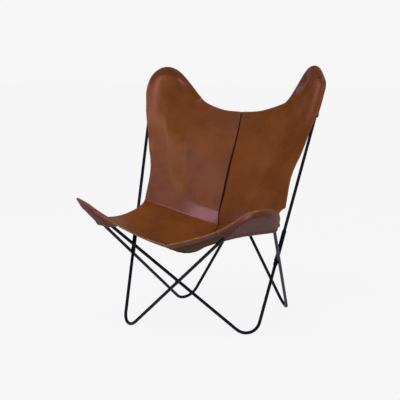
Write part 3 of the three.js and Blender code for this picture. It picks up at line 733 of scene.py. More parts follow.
# %% One strip of a pocket
# Each pocket: how far down it ends, the drop of its mouth at the outer and the inner leg, its flare.
BACK_POCKET = {-1: (240, 0, 0, 0), 1: (240, 0, 0, 0)}
FRONT_POCKET = {-1: (213, 22, -18, 3), 1: (212, 4, 0, 0)}
FLANK_SHARES = [0, 0.3, 0.6, 0.85]
BEHIND_SHARES = [0.12, 0.3, 0.5, 0.7, 0.86]
WRAP_POINTS = 9
FLARE_SHARE = 0.3
TURN_RADIUS = OVER_ROD + HOOD_ROOM


def pocket_strip(hoop, shape, point, inwards):
    """One leg's half of a strip, from the sewn edge to the middle, and the middle point."""
    depth, outer_drop, inner_drop, flare = shape
    down, out, proud = hoop.local(point)
    beyond, run = hoop.nearest(down, out)
    run += (outer_drop if run > 0 else -inner_drop) * (1 - inwards)
    turn = TURN_RADIUS + flare * max(1 - inwards / FLARE_SHARE, 0) ** 2 * (run > 0)
    at_down, at_out, away = hoop.rod_at(run)

    def section(a, b):
        return hoop.world(at_down + away[0] * a, at_out + away[1] * a, b)

    reach = max(math.hypot(beyond, proud), turn)
    touch = math.atan2(proud, beyond) - math.acos(turn / reach)
    turns = np.linspace(touch, -math.pi / 2, WRAP_POINTS)
    on_rod = [section(turn * math.cos(t), turn * math.sin(t)) for t in turns]
    middle = hoop.world(depth + (hoop.centre - depth) * inwards, 0, -TURN_RADIUS)
    flank = [point + (on_rod[0] - point) * s for s in FLANK_SHARES]
    behind = [on_rod[-1] + (middle - on_rod[-1]) * s for s in BEHIND_SHARES]
    return [*flank, *on_rod, *behind], middle


STRIP_POINTS = 2 * (len(FLANK_SHARES) + WRAP_POINTS + len(BEHIND_SHARES)) + 1
print("a strip has", STRIP_POINTS, "points, and its arc a radius of", TURN_RADIUS, "mm")

# %% Normals of a pocket's rim and middle line
SLIVERS = 5
CALM_ROW = -4
LED_ROWS = ((-3, 0.25), (-2, 0.6), (-1, 1))
OPPOSED = 0.1


def steady(ways):
    """Close to the corner the cells are slivers, so the normals there follow the ones before."""
    ways = np.array(ways)
    ways[-SLIVERS:] = ways[-SLIVERS - 1]
    return ways


def read(line, at, place):
    """A line's point or normal at a place between the places at which it is known."""
    return np.array([np.interp(place, at, line[:, axis]) for axis in range(3)])


def lead_to_middle(normals):
    """Close to the middle line the rows are short, so their normals are led to the shared one."""
    calm = normals[CALM_ROW]
    shared = calm + calm[::-1]
    size = np.linalg.norm(shared, axis=1, keepdims=True)
    shared = np.where(size > OPPOSED, shared / np.maximum(size, OPPOSED), calm)
    for row, share in LED_ROWS:
        led = calm * (1 - share) + shared * share
        normals[row] = led / np.linalg.norm(led, axis=1, keepdims=True)


print("the last", SLIVERS, "places of a rim share one normal")

# %% A whole pocket
HEM, HEM_RISE, HEM_SLOPE = 13, 1.3, 1.6
HEM_FROM_RIM = 6
FULLNESS, FULLNESS_SIZE, FULLNESS_FADE = 0.8, 60, 30
MOUTH_SHARES = [0.012, 0.03, 0.05, 0.075, 0.1, 0.13]
BACK_POCKET_SEED, FRONT_POCKET_SEED = 21, 34


def pocket(hoop, piece, shape, flip, seed):
    """A pocket's grid and normals, and each point's way from the mouth and from the rim. The outer
    side of the hood and its far side are read at the same shares of the way."""
    rows = [r for r, v in enumerate(piece.down) if v >= OPEN_CELLS - TINY]
    columns = [c for c, u in enumerate(piece.across) if u >= OPEN_CELLS - TINY]
    outer_way = steady([piece.normals[r, -1] for r in rows])
    inner_way = steady([piece.normals[-1, c] for c in columns])
    outer = np.array([piece.mid[r, -1] for r in rows]) - outer_way * (LEATHER + SEAT_GAP)
    inner = np.array([piece.mid[-1, c] for c in columns]) - inner_way * (LEATHER + SEAT_GAP)
    at_outer = [(piece.down[r] - OPEN_CELLS) / POCKET_CELLS for r in rows]
    at_inner = [(piece.across[c] - OPEN_CELLS) / POCKET_CELLS for c in columns]
    marks = sorted({round(s, 4) for s in [*at_outer, *MOUTH_SHARES]})
    grid = []
    for s in marks:
        one, middle = pocket_strip(hoop, shape, read(outer, at_outer, s), s)
        two, _ = pocket_strip(hoop, shape, read(inner, at_inner, s), s)
        grid.append([*one, middle, *two[::-1]])
    grid = np.array(grid)
    normals = grid_normals(grid, flip)
    mouth, rim = surface_steps(grid, 0), surface_steps(grid, 1)
    rim = np.minimum(rim, rim[:, -1:] - rim)
    hem = 1 / (1 + np.exp((mouth - HEM) * HEM_SLOPE)) * np.clip(rim / HEM_FROM_RIM, 0, 1)
    grid = grid + normals * (hem * HEM_RISE)[..., None]
    fade = np.clip(np.minimum(rim, mouth) / FULLNESS_FADE, 0, 1)
    grid = grid + normals * (np.abs(noise_field(grid, FULLNESS_SIZE, seed)) * FULLNESS * fade)[..., None]
    normals = grid_normals(grid, flip)
    lead_to_middle(normals)
    grid[-1] = (grid[-1] + grid[-1][::-1]) / 2
    # The sewn edge lies flat against the hood.
    for row, s in enumerate(marks):
        for column, way_out in ((0, read(outer_way, at_outer, s)), (-1, read(inner_way, at_inner, s))):
            normals[row, column] = -way_out / np.linalg.norm(way_out)
    return grid, normals, mouth, rim


pockets = {}
for side, pair in panels.items():
    pockets[side] = {
        "back": pocket(back_hoops[side], pair["back"], BACK_POCKET[side], side < 0, BACK_POCKET_SEED),
        "front": pocket(front_hoops[side], pair["seat"], FRONT_POCKET[side], side > 0, FRONT_POCKET_SEED),
    }
print("pocket grid", pockets[1]["back"][0].shape)

# %% [markdown]
# Thickness
#
# Saddle hide has three faces that look different: the smooth grain, the rough flesh side, and the cut
# edge, which swells a little where the knife went through. The Solidify modifier makes thickness, but
# it gives no swell and no way to show the grain of a hem that is folded back. So the two faces and the
# edge are laid out here. Every point also keeps numbers for the finishes, such as its distance from
# the seams and from the cut edges.

# %% A sheet of hide as a mesh
GRAIN, FLESH, CUT_EDGE = range(3)
CUT_SWELL_SHARE = 0.32
HEM_BAND_STEP = 1.6
FOLDED = 0.4
WELD_DISTANCE = 1e-6


def new_piece(name, points, faces, materials):
    """An object from points in metres, with smooth faces."""
    mesh = bpy.data.meshes.new(name)
    mesh.from_pydata(points.tolist(), [], faces)
    mesh.polygons.foreach_set("use_smooth", [True] * len(mesh.polygons))
    for material in materials:
        mesh.materials.append(material)
    piece = bpy.data.objects.new(name, mesh)
    scene.collection.objects.link(piece)
    return piece


class Sheet:
    """Two faces and a wall all round. Sides are start and end (rows), inner and outer (columns)."""

    def __init__(self, mid, normals, values, cut_sides, joined=(), hem=0):
        """A joined side gets no wall. Under a hem, the flesh side shows folded grain and is lower."""
        shape = mid.shape[:2]
        hem = np.broadcast_to(hem, shape)
        under = mid - normals * (LEATHER / 2 + hem * HEM_BAND_STEP)[..., None]
        over = mid + normals * (LEATHER / 2)
        self.points = np.concatenate([over.reshape(-1, 3), under.reshape(-1, 3)])
        self.values, self.faces, self.slots = {}, [], []
        for key, value in values.items():
            flat = np.broadcast_to(value, shape).reshape(-1)
            # The under face always carries full painted shade. It shows where the hem's folded grain lies
            # under the front edge.
            self.values[key] = np.concatenate([flat, np.ones_like(flat) if key == "painted_shade" else flat])
        top = np.arange(shape[0] * shape[1]).reshape(shape)
        low = top + top.size
        self.two_faces(top, low, hem)
        sides = {"start": (top[0], low[0], mid[0] - mid[1]),
                 "end": (top[-1][::-1], low[-1][::-1], (mid[-1] - mid[-2])[::-1]),
                 "inner": (top[::-1, 0], low[::-1, 0], (mid[:, 0] - mid[:, 1])[::-1]),
                 "outer": (top[:, -1], low[:, -1], mid[:, -1] - mid[:, -2])}
        for name, (up, down, outward) in sides.items():
            if name not in joined:
                self.wall(up, down, outward, CUT_SWELL_SHARE * LEATHER if name in cut_sides else 0)

    def two_faces(self, top, low, hem):
        for j in range(top.shape[0] - 1):
            for i in range(top.shape[1] - 1):
                self.faces.append((top[j, i], top[j, i + 1], top[j + 1, i + 1], top[j + 1, i]))
                self.faces.append((low[j + 1, i], low[j + 1, i + 1], low[j, i + 1], low[j, i]))
                folded = hem[j : j + 2, i : i + 2].mean() > FOLDED
                self.slots += [GRAIN, GRAIN if folded else FLESH]

    def wall(self, up, down, outward, swell):
        """The cut edge between the two faces, with a middle line that may swell outwards."""
        bulge = outward / (np.linalg.norm(outward, axis=1, keepdims=True) + NO_ZERO)
        middle = (self.points[up] + self.points[down]) / 2 + bulge * swell
        mids = len(self.points) + np.arange(len(up))
        self.points = np.concatenate([self.points, middle])
        for key, value in self.values.items():
            self.values[key] = np.concatenate([value, value[up]])
        for k in range(len(up) - 1):
            self.faces.append((up[k + 1], up[k], mids[k], mids[k + 1]))
            self.faces.append((mids[k + 1], mids[k], down[k], down[k + 1]))
            self.slots += [CUT_EDGE, CUT_EDGE]

    def build(self, name, materials):
        piece = new_piece(name, metres(self.points), [list(map(int, f)) for f in self.faces], materials)
        mesh = piece.data
        for key, value in self.values.items():
            attribute = mesh.attributes.new(key, "FLOAT", "POINT")
            attribute.data.foreach_set("value", value.astype(np.float32))
        mesh.polygons.foreach_set("material_index", self.slots)
        work = bmesh.new()
        work.from_mesh(mesh)
        bmesh.ops.remove_doubles(work, verts=work.verts, dist=WELD_DISTANCE)
        bmesh.ops.recalc_face_normals(work, faces=work.faces)
        work.to_mesh(mesh)
        work.free()
        mesh.update()
        return piece


print("hide", LEATHER, "mm thick, cut edge swollen by", round(CUT_SWELL_SHARE * LEATHER, 1), "mm")

# %% [markdown]
# Stitches
#
# Each stitch is a short waxed thread that dips into the leather at both ends. A texture of dashes
# would look right from afar, but it stands up nowhere and casts no shadow. So each stitch is a small
# tube of six sides and four rings, thinner and lower at its ends, and a row of them is one piece.

# %% A row of stitches
THREAD = 0.42
THREAD_LIFT = 0.15
STITCH_START, STITCH_END = 0.14, 0.86
THREAD_SIDES = 6
# Each ring: share of the way, height and radius as shares of the thread's radius.
RING_SHARES = ((0, -0.5, 0.55), (0.16, 0.25, 1), (0.84, 0.25, 1), (1, -0.5, 0.55))


def stitch_row(name, line, normals, material):
    """Stitches along a line that lies on the leather."""
    run = run_along(line)
    count = max(int(run[-1] / STITCH_PITCH), 1)
    pitch = run[-1] / count
    points, faces = [], []
    for k in range(count):
        start, end = (k + STITCH_START) * pitch, (k + STITCH_END) * pitch
        a, b = read(line, run, start), read(line, run, end)
        up = unit(read(normals, run, (start + end) / 2))
        side = np.cross(up, unit(b - a))
        base = len(points)
        for s, height, radius in RING_SHARES:
            centre = a + (b - a) * s + up * (THREAD_LIFT + height * THREAD)
            for turn in range(THREAD_SIDES):
                t = turn * 2 * math.pi / THREAD_SIDES
                points.append(centre + (side * math.cos(t) + up * math.sin(t)) * THREAD * radius)
        for ring in range(len(RING_SHARES) - 1):
            low = base + ring * THREAD_SIDES
            for turn in range(THREAD_SIDES):
                a0, a1 = low + turn, low + (turn + 1) % THREAD_SIDES
                faces.append((a0, a1, a1 + THREAD_SIDES, a0 + THREAD_SIDES))
        last = base + (len(RING_SHARES) - 1) * THREAD_SIDES
        faces.append(tuple(base + t for t in reversed(range(THREAD_SIDES))))
        faces.append(tuple(last + t for t in range(THREAD_SIDES)))
    return new_piece(name, metres(points), faces, [material])


print("thread", 2 * THREAD, "mm thick, a stitch every", STITCH_PITCH, "mm")

# %% Lines for the stitches
RIM_STITCH, MOUTH_STITCH = 6.5, 9
CORNER_ROOM = 2
SAME_CELL = 0.01


def offset_line(mid, normals, steps, distance, axis):
    """A line on the grain at a distance from a side. Axis 1 reads along each row."""
    grain_side = mid + normals * LEATHER / 2
    if axis == 0:
        grain_side, normals, steps = grain_side.transpose(1, 0, 2), normals.transpose(1, 0, 2), steps.T
    lines, ways = [], []
    for points, facing, run in zip(grain_side, normals, steps):
        order = np.argsort(run)
        lines.append([np.interp(distance, run[order], points[order, i]) for i in range(3)])
        ways.append([np.interp(distance, run[order], facing[order, i]) for i in range(3)])
    return np.array(lines), np.array(ways)


def rim_line(piece):
    """A line on the grain side near the hood's rim, up its side and on round its far edge."""
    up, up_ways = offset_line(piece.mid, piece.normals, piece.from_side, RIM_STITCH, 1)
    on, on_ways = offset_line(piece.mid, piece.normals, piece.from_end, RIM_STITCH, 0)
    room = RIM_STITCH + CORNER_ROOM
    start = OPEN_CELLS - SAME_CELL
    keep_up = [k for k, v in enumerate(piece.down) if v >= start and piece.from_end[k, -1] > room]
    keep_on = [k for k, v in enumerate(piece.across) if v >= start and piece.from_side[-1, k] > room]
    return (np.concatenate([up[keep_up], on[keep_on][::-1]]),
            np.concatenate([up_ways[keep_up], on_ways[keep_on][::-1]]))


for pair in panels.values():
    for piece in pair.values():
        piece.measure()
print("rim stitches", RIM_STITCH, "mm from the edge, mouth stitches", MOUTH_STITCH, "mm")

# %% [markdown]
# Shader maths
#
# A finish is a tree of nodes. They can be dragged into the Shader Editor one by one, but twenty Math
# nodes are hard to read. The small class below wraps an output socket and takes over plus, minus,
# times and divided by, so that 1 - mask adds its own Math node. A second class makes a material
# around a Principled shader. Colours are written as they look on the screen and turned linear.

# %% Sockets that can be calculated with
class Socket:
    def __init__(self, tree, socket):
        self.tree, self.socket = tree, socket

    def node(self, kind, inputs=None, output=0, **settings):
        """Any node: its settings first, then its inputs as sockets, numbers or colours."""
        node = self.tree.nodes.new(kind)
        for key, value in settings.items():
            setattr(node, key, value)
        for key, value in (inputs or {}).items():
            if isinstance(value, Socket):
                self.tree.links.new(value.socket, node.inputs[key])
            else:
                node.inputs[key].default_value = value
        return Socket(self.tree, node.outputs[output])

    def math(self, operation, *values):
        return self.node("ShaderNodeMath", dict(enumerate(values)), operation=operation)

    def __add__(self, other):
        return self.math("ADD", self, other)

    def __sub__(self, other):
        return self.math("SUBTRACT", self, other)

    def __mul__(self, other):
        return self.math("MULTIPLY", self, other)

    def __truediv__(self, other):
        return self.math("DIVIDE", self, other)

    __radd__, __rmul__ = __add__, __mul__

    def __rsub__(self, other):
        return self.math("SUBTRACT", other, self)

    def __rtruediv__(self, other):
        return self.math("DIVIDE", other, self)

    def clamp(self):
        return self.node("ShaderNodeClamp", {"Value": self})

    def between(self, low, high):
        """0 at low, 1 at high, smooth in between."""
        return self.node("ShaderNodeMapRange", {"Value": self, "From Min": low, "From Max": high},
                         interpolation_type="SMOOTHSTEP")

    def mix(self, first, second):
        """Colours mixed by this factor."""
        return self.node("ShaderNodeMix", {"Factor": self, "A": first, "B": second}, output=2,
                         data_type="RGBA")


def rgb(red, green, blue):
    """A colour as it looks on the screen, turned linear."""
    shares = [c / 255 for c in (red, green, blue)]
    return (*[((s + 0.055) / 1.055) ** 2.4 if s > 10 / 255 else s / 12.92 for s in shares], 1)


print("a colour of 128 on the screen is", round(rgb(128, 128, 128)[0], 3), "in the shader")

# %% A material with its coordinates
# Noise keeps to the middle of its range, so this spread of it is taken as 0 to 1.
NOISE_SPREAD = (0.3, 0.7)


class Material:
    def __init__(self, name):
        self.material = bpy.data.materials.new(name)
        self.material.use_nodes = True
        self.tree = self.material.node_tree
        self.shader = self.tree.nodes["Principled BSDF"]
        start = self.tree.nodes.new("ShaderNodeTexCoord")
        self.place = Socket(self.tree, start.outputs["Object"])

    def attribute(self, name):
        return self.place.node("ShaderNodeAttribute", output=2, attribute_name=name)

    def noise(self, scale, detail=3.0, rough=0.5):
        return self.place.node("ShaderNodeTexNoise", {"Vector": self.place, "Scale": scale, "Detail": detail,
                                                      "Roughness": rough})

    def cells(self, scale):
        return self.place.node("ShaderNodeTexVoronoi", {"Vector": self.place, "Scale": scale})

    def bump(self, height, strength, distance):
        return height.node("ShaderNodeBump", {"Height": height, "Strength": strength, "Distance": distance})

    def set(self, **values):
        for key, value in values.items():
            name = key.replace("_", " ")
            if isinstance(value, Socket):
                self.tree.links.new(value.socket, self.shader.inputs[name])
            else:
                self.shader.inputs[name].default_value = value

    def done(self):
        print(self.material.name, "has", len(self.tree.nodes), "nodes")
        return self.material


print("a new material reads places in the object's own coordinates")

# %% [markdown]
# The grain of the hide
#
# Waxed cognac leather isn't one brown. Dye takes unevenly, and pores and fine creases catch the light.
# Painted shade with a violet painted reflection makes the pockets and the folded hem plum brown,
# painted shade darkens the middle seam and the crease nearly to black, the hide is paler near its cut
# edges, and a pink painted gleam lies in a band beside the rod. A photograph as a texture would carry
# its light with it. Noise at several sizes makes the clouds and creases, a Voronoi pattern the pores,
# and the numbers kept on the mesh say where seams, rims and the painted light lie. The gloss is tinted
# violet, as the gleams in the photograph are, and it is spread wide where the hide is seen nearly edge on.

# %% Cognac grain
HIDE_DARK, HIDE_LIGHT = (107, 58, 18), (124, 69, 26)
# Painted shade with a violet painted reflection, for the pockets and the folded hem.
PAINTED_SHADE_DARK, PAINTED_SHADE_LIGHT = (88, 40, 23), (104, 51, 34)
# The middle colour is painted shade, for the middle seam and the crease.
HIDE_PORE, PAINTED_SEAM_SHADE, HIDE_EDGE_PALE = (86, 44, 14), (36, 13, 3), (128, 88, 58)
# A painted pink highlight.
HIDE_PAINTED_GLEAM = (150, 88, 76)
HIDE_ROUGH, HIDE_SPECULAR, HIDE_GLOSS = 0.22, 0.32, (255, 215, 255)
HIDE_SHEEN, HIDE_SHEEN_TINT = 0.015, (200, 160, 190)
HIDE_BUMP, HIDE_RELIEF = 0.07, 0.0005
HIDE_CLOUDS, HIDE_PATCHES, HIDE_PORES, HIDE_WRINKLES = 7, 26, 820, 240
# How wide the painted shade in the middle seam is, and how it widens and narrows along the seam.
SEAM_SHADE_SPAN = (3.0, 6.0)
SHADE_WIDENS, SHADE_NARROWS, SHADE_NARROWING, SHADE_LEAST = (0, 110), (190, 560), 0.85, 0.27
CREASE_SHADE, EDGE_PALE = (0.2, 1.6), (2.4, 6.0)
EDGE_ON = (0.55, 0.95)


def seam_shade_mask(seam, crease):
    """Where shade is painted in the middle seam: fine at the crease, widest a hand above it, then finer
    again.
    """
    shade_width = crease.between(*SHADE_WIDENS) * (1 - crease.between(*SHADE_NARROWS) * SHADE_NARROWING) + SHADE_LEAST
    return 1 - (seam / shade_width).between(*SEAM_SHADE_SPAN)


def grain_leather(name):
    m = Material(name)
    cloud, patch = m.noise(HIDE_CLOUDS, 4), m.noise(HIDE_PATCHES, 5, 0.6)
    seam, crease, edge = m.attribute("seam"), m.attribute("crease"), m.attribute("edge")
    pores, wrinkles = m.cells(HIDE_PORES), m.noise(HIDE_WRINKLES, 6, 0.65)
    shade = (cloud * 0.65 + patch * 0.35).between(0.36, 0.66)
    # The pockets and the folded hem get painted shade with a violet painted reflection, and a little more
    # roughness.
    painted_shade = m.attribute("painted_shade")
    hide = painted_shade.mix(shade.mix(rgb(*HIDE_DARK), rgb(*HIDE_LIGHT)),
                    shade.mix(rgb(*PAINTED_SHADE_DARK), rgb(*PAINTED_SHADE_LIGHT)))
    hide = (pores.between(0.0, 0.32) * 0.4 + 0.6).mix(rgb(*HIDE_PORE), hide)
    # Painted shade in the middle seam's groove, which is also made a little rougher.
    seam_shade = seam_shade_mask(seam, crease)
    hide = seam_shade.mix(hide, rgb(*PAINTED_SEAM_SHADE))
    # Painted shade along the crease between back and seat.
    crease_shade = 1 - crease.between(*CREASE_SHADE)
    hide = (crease_shade * 0.5).mix(hide, rgb(*PAINTED_SEAM_SHADE))
    # A pink painted gleam in a band inside the rod of each back hood.
    rub = (m.attribute("rub") * (patch * 0.5 + 0.75)).clamp()
    hide = (rub * 0.7).mix(hide, rgb(*HIDE_PAINTED_GLEAM))
    # The hide turns paler within a few millimetres of its cut edges, in patches.
    edge_pale = 1 - (edge + patch * 2).between(*EDGE_PALE)
    hide = (edge_pale * 0.5).mix(hide, rgb(*HIDE_EDGE_PALE))
    edge_on = m.place.node("ShaderNodeLayerWeight", {"Blend": 0.5}, output=1).between(*EDGE_ON)
    rough = wrinkles.between(*NOISE_SPREAD) * 0.06 + cloud * 0.08 + seam_shade * 0.1 + painted_shade * 0.2 + HIDE_ROUGH
    rough = rough + edge_on * 0.35
    height = pores * 0.6 + wrinkles * 0.5 + patch * 0.35
    m.set(Base_Color=hide, Roughness=rough, Normal=m.bump(height, HIDE_BUMP, HIDE_RELIEF))
    m.set(IOR=1.5, Specular_IOR_Level=HIDE_SPECULAR, Specular_Tint=rgb(*HIDE_GLOSS))
    m.set(Sheen_Weight=HIDE_SHEEN, Sheen_Roughness=0.35, Sheen_Tint=rgb(*HIDE_SHEEN_TINT))
    return m.done()


grain = grain_leather("grain_leather")

# %% [markdown]
# The flesh side
#
# The back of the hide is a short suede nap with loose fibres, duller and more olive than the grain. A
# hair system could stand for the nap, but at this size it is finer than a pixel. A fine noise in the
# roughness and the bump, and a little sheen at flat angles, give the same soft look.

# %% Suede nap
FLESH_DARK, FLESH_LIGHT = (72, 44, 18), (104, 68, 32)
NAP_SHEEN_TINT = (150, 110, 80)


def flesh_leather(name):
    m = Material(name)
    cloud, nap = m.noise(12, 4), m.noise(420, 7, 0.7)
    fibres = m.noise(900, 3, 0.6)
    hide = (cloud * 0.5 + nap * 0.5).between(*NOISE_SPREAD).mix(rgb(*FLESH_DARK), rgb(*FLESH_LIGHT))
    # Painted shade along the middle seam on the flesh side.
    seam_shade = 1 - m.attribute("seam").between(0.2, 2.2)
    hide = (seam_shade * 0.7).mix(hide, rgb(*PAINTED_SEAM_SHADE))
    m.set(Base_Color=hide, Roughness=nap * 0.1 + 0.82, Normal=m.bump(nap * 0.6 + fibres * 0.4, 0.5, 0.0008))
    m.set(Specular_IOR_Level=0.1, Sheen_Weight=0.04, Sheen_Roughness=0.5, Sheen_Tint=rgb(*NAP_SHEEN_TINT))
    return m.done()


flesh = flesh_leather("flesh_leather")

# %% [markdown]
# The cut edge
#
# Where the hide was cut, its fibres show. On the seat they were left pale, and on the back they were
# burnished dark. Two materials could do that, but one with a number on the mesh, pale, keeps the
# change in one place and lets it run gradually.

# %% Cut fibres
CUT_DARK, CUT_LIGHT = (126, 80, 50), (166, 108, 70)
BURNISH_DARK, BURNISH_LIGHT = (104, 62, 46), (132, 84, 66)


def cut_leather(name):
    m = Material(name)
    fibres, burnish, pale = m.noise(700, 5, 0.6), m.noise(45, 3), m.attribute("pale")
    mixed = (fibres * 0.5 + burnish * 0.5).between(*NOISE_SPREAD)
    raw = mixed.mix(rgb(*CUT_DARK), rgb(*CUT_LIGHT))
    dark = mixed.mix(rgb(*BURNISH_DARK), rgb(*BURNISH_LIGHT))
    m.set(Base_Color=pale.mix(dark, raw), Roughness=fibres * 0.15 + 0.6, Normal=m.bump(fibres, 0.4, 0.0004))
    m.set(Specular_IOR_Level=0.2)
    return m.done()


cut = cut_leather("cut_leather")

# %% [markdown]
# Painted rods
#
# The rods, sleeves and welds are painted black with a trace of blue. Sprayed paint isn't quite smooth:
# it has orange peel, which is a low bump, and a few specks of dust. Plain black would look like a hole
# in the picture, so the colour is a very dark blue with soft clouds, and the gloss is low.

# %% Black paint
PAINT_DARK, PAINT_LIGHT, PAINT_FLECK = (12, 10, 34), (22, 19, 48), (62, 58, 84)
PAINT_ROUGH, PAINT_SPECULAR = 0.4, 0.12


def painted_steel(name):
    m = Material(name)
    peel, cloud, dust = m.noise(380, 3), m.noise(18, 4), m.cells(160)
    coat = cloud.between(*NOISE_SPREAD).mix(rgb(*PAINT_DARK), rgb(*PAINT_LIGHT))
    fleck = 1 - dust.between(0.02, 0.07)
    coat = (fleck * 0.35).mix(coat, rgb(*PAINT_FLECK))
    m.set(Base_Color=coat, Roughness=cloud * 0.12 + PAINT_ROUGH, Metallic=0.0,
          Normal=m.bump(peel, 0.12, 0.0005))
    m.set(IOR=1.5, Specular_IOR_Level=PAINT_SPECULAR, Coat_Weight=0.05, Coat_Roughness=0.18)
    return m.done()


paint = painted_steel("painted_steel")

# %% [markdown]
# Set screws
#
# The four set screws are oiled black steel, which is a metal with a dark tone, not a paint. Fine noise
# in the roughness stands for the marks of the lathe.

# %% Blackened steel
SCREW_DARK, SCREW_LIGHT = (34, 34, 38), (70, 68, 70)


def blackened_steel(name):
    m = Material(name)
    marks, cloud = m.noise(1400, 2), m.noise(260, 4)
    steel = cloud.between(*NOISE_SPREAD).mix(rgb(*SCREW_DARK), rgb(*SCREW_LIGHT))
    m.set(Base_Color=steel, Metallic=cloud * 0.2 + 0.75, Roughness=marks * 0.2 + 0.28,
          Normal=m.bump(marks, 0.25, 0.0002))
    return m.done()


screw_steel = blackened_steel("blackened_steel")

# %% [markdown]
# Waxed thread
#
# The thread is twisted from plies and waxed, a shade lighter than the hide. The twist could be
# modelled, but it is finer than a pixel, so a very fine noise in the bump and the roughness is enough.

# %% Thread
THREAD_DARK, THREAD_LIGHT = (112, 66, 40), (146, 94, 62)
WAX_SHEEN_TINT = (170, 130, 90)


def waxed_thread(name):
    m = Material(name)
    ply, cloud = m.noise(1600, 2), m.noise(60, 2)
    twist = cloud.between(*NOISE_SPREAD).mix(rgb(*THREAD_DARK), rgb(*THREAD_LIGHT))
    m.set(Base_Color=twist, Roughness=ply * 0.2 + 0.5, Normal=m.bump(ply, 0.6, 0.0003))
    m.set(Sheen_Weight=0.1, Sheen_Roughness=0.4, Sheen_Tint=rgb(*WAX_SHEEN_TINT))
    return m.done()


thread = waxed_thread("waxed_thread")

# %% [markdown]
# The sling's pieces
#
# Eight sheets of hide, each in place of the CAD solid of the same name, and a row of stitches on each.
# They stay separate, as they are on the bench before sewing, because a joined mesh couldn't be taken
# apart again. The area of each sheet is printed. Saddle leather hardly stretches, so the cut's area is
# that of the hung piece.

# %% Meshes of the panels and pockets
def skin_area(grid):
    """Area in square metres, as two triangles for each cell."""
    one, two = grid[1:, :-1] - grid[:-1, :-1], grid[:-1, 1:] - grid[:-1, :-1]
    three, four = grid[:-1, 1:] - grid[1:, 1:], grid[1:, :-1] - grid[1:, 1:]
    doubled = sum(np.linalg.norm(np.cross(a, b), axis=2).sum() for a, b in ((one, two), (three, four)))
    return doubled / 2 / MM**2


def sewn_panel(kind, hand, piece):
    name, seat = f"{kind}_panel_{hand}", kind == "seat"
    values = {"seam": piece.seam, "crease": piece.crease, "edge": piece.edge, "pale": float(seat),
              "painted_shade": 0.0, "rub": 0.0 if seat else piece.rub}
    sheet = Sheet(piece.mid, piece.normals, values, ("outer", "end"), hem=piece.front_hem() if seat else 0)
    leathers[name] = sheet.build(name + "_leather", [grain, flesh, cut])
    stitched[name] = stitch_row(name + "_rim_stitches", *rim_line(piece), thread)
    print(name, "side", piece.seam.max().round(), "length", piece.crease.max().round(), "area",
          skin_area(piece.mid).round(4))


FAR_FROM_SEAMS = 50.0
POCKET_PALE = 0.2
# The painted shade a pocket has at its sewn rim, and the way over which it grows to full.
PAINTED_SHADE_AT_RIM, PAINTED_SHADE_EASE = 0.35, 24


def sewn_pocket(kind, hand, mid, normals, mouth, rim):
    name = f"{kind}_pocket_{hand}"
    painted_shade = PAINTED_SHADE_AT_RIM + (1 - PAINTED_SHADE_AT_RIM) * np.clip(rim / PAINTED_SHADE_EASE, 0, 1)
    values = {"seam": FAR_FROM_SEAMS, "crease": FAR_FROM_SEAMS, "edge": np.minimum(mouth, rim),
              "pale": POCKET_PALE, "painted_shade": painted_shade, "rub": 0.0}
    sheet = Sheet(mid, normals, values, ("start", "inner", "outer"), joined=("end",))
    leathers[name] = sheet.build(name + "_leather", [grain, flesh, cut])
    stitched[name] = stitch_row(name + "_mouth_stitches", *offset_line(mid, normals, mouth, MOUTH_STITCH, 0),
                                thread)
    print(name, "width", surface_steps(mid, 1)[:, -1].max().round(), "length", mouth.max().round(), "area",
          skin_area(mid).round(4))


leathers, stitched = {}, {}
for side, hand in ((-1, "left"), (1, "right")):
    for kind in ("back", "seat"):
        sewn_panel(kind, hand, panels[side][kind])
    for kind in ("back", "front"):
        sewn_pocket(kind, hand, *pockets[side][kind])

# %% [markdown]
# Where the leather hangs
#
# A sheet and its stitches hang from the root body, and the CAD solid of the same name is hidden.

for name, piece in leathers.items():
    kind, hand = name.rsplit("_", 1)
    for part in (piece, stitched[name]):
        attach(part, "root")
    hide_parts(name)

# %% [markdown]
# The frame
#
# The rods, sleeves, welds and screws are the CAD solids. Their round faces came as flat facets. Shade
# Smooth rounds them in the light, and an Edge Split keeps the true edges of the sleeves and screws
# crisp, where smoothing would smear the shade round the corner.

# %% Paint the steel
TRUE_EDGE = math.radians(35)
for name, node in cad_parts.items():
    if name in leathers:
        continue
    node.data.materials.clear()
    node.data.materials.append(screw_steel if "screw" in name else paint)
    node.data.polygons.foreach_set("use_smooth", [True] * len(node.data.polygons))
    split = node.modifiers.new("hold_edges", "EDGE_SPLIT")
    split.split_angle = TRUE_EDGE
    split.use_edge_sharp = False
print("steel pieces:", len(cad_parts) - len(leathers))

# %% [markdown]
# Camera
#
# The photograph was taken from a little to the right, slightly above, with a long lens. The camera
# could be pushed about by hand until the feet match. It was fitted instead to the feet, the tips and
# the rods between them: direction, distance, focal length in pixels, and a small roll. The target lies
# a little off the middle of the picture, so the camera is turned by that much.

# %% Place the camera
AZIMUTH, ELEVATION, DISTANCE = 20.485, 7.759, 4.9
PIXELS, FOCAL = 400, 1400.6
TARGET_DEPTH, TARGET_HEIGHT = 0.2, 0.42
TARGET = Vector((shift[0] / MM, TARGET_DEPTH + shift[1] / MM, TARGET_HEIGHT))
TARGET_AT = (208.3, 199.9)
ROLL = 0.187


def camera_axes():
    """The camera's right, up and backward directions as a matrix."""
    azimuth, elevation = math.radians(AZIMUTH), math.radians(ELEVATION)
    away = Vector((math.sin(azimuth) * math.cos(elevation), -math.cos(azimuth) * math.cos(elevation),
                   math.sin(elevation)))
    right = Matrix.Rotation(math.radians(ROLL), 3, away) @ Vector((math.cos(azimuth), math.sin(azimuth), 0))
    off = ((TARGET_AT[0] - PIXELS / 2) / FOCAL, (PIXELS / 2 - TARGET_AT[1]) / FOCAL, -1)
    pan = Vector((0, 0, -1)).rotation_difference(Vector(off).normalized()).to_matrix()
    return away, Matrix((right, away.cross(right), away)).transposed() @ pan.inverted()


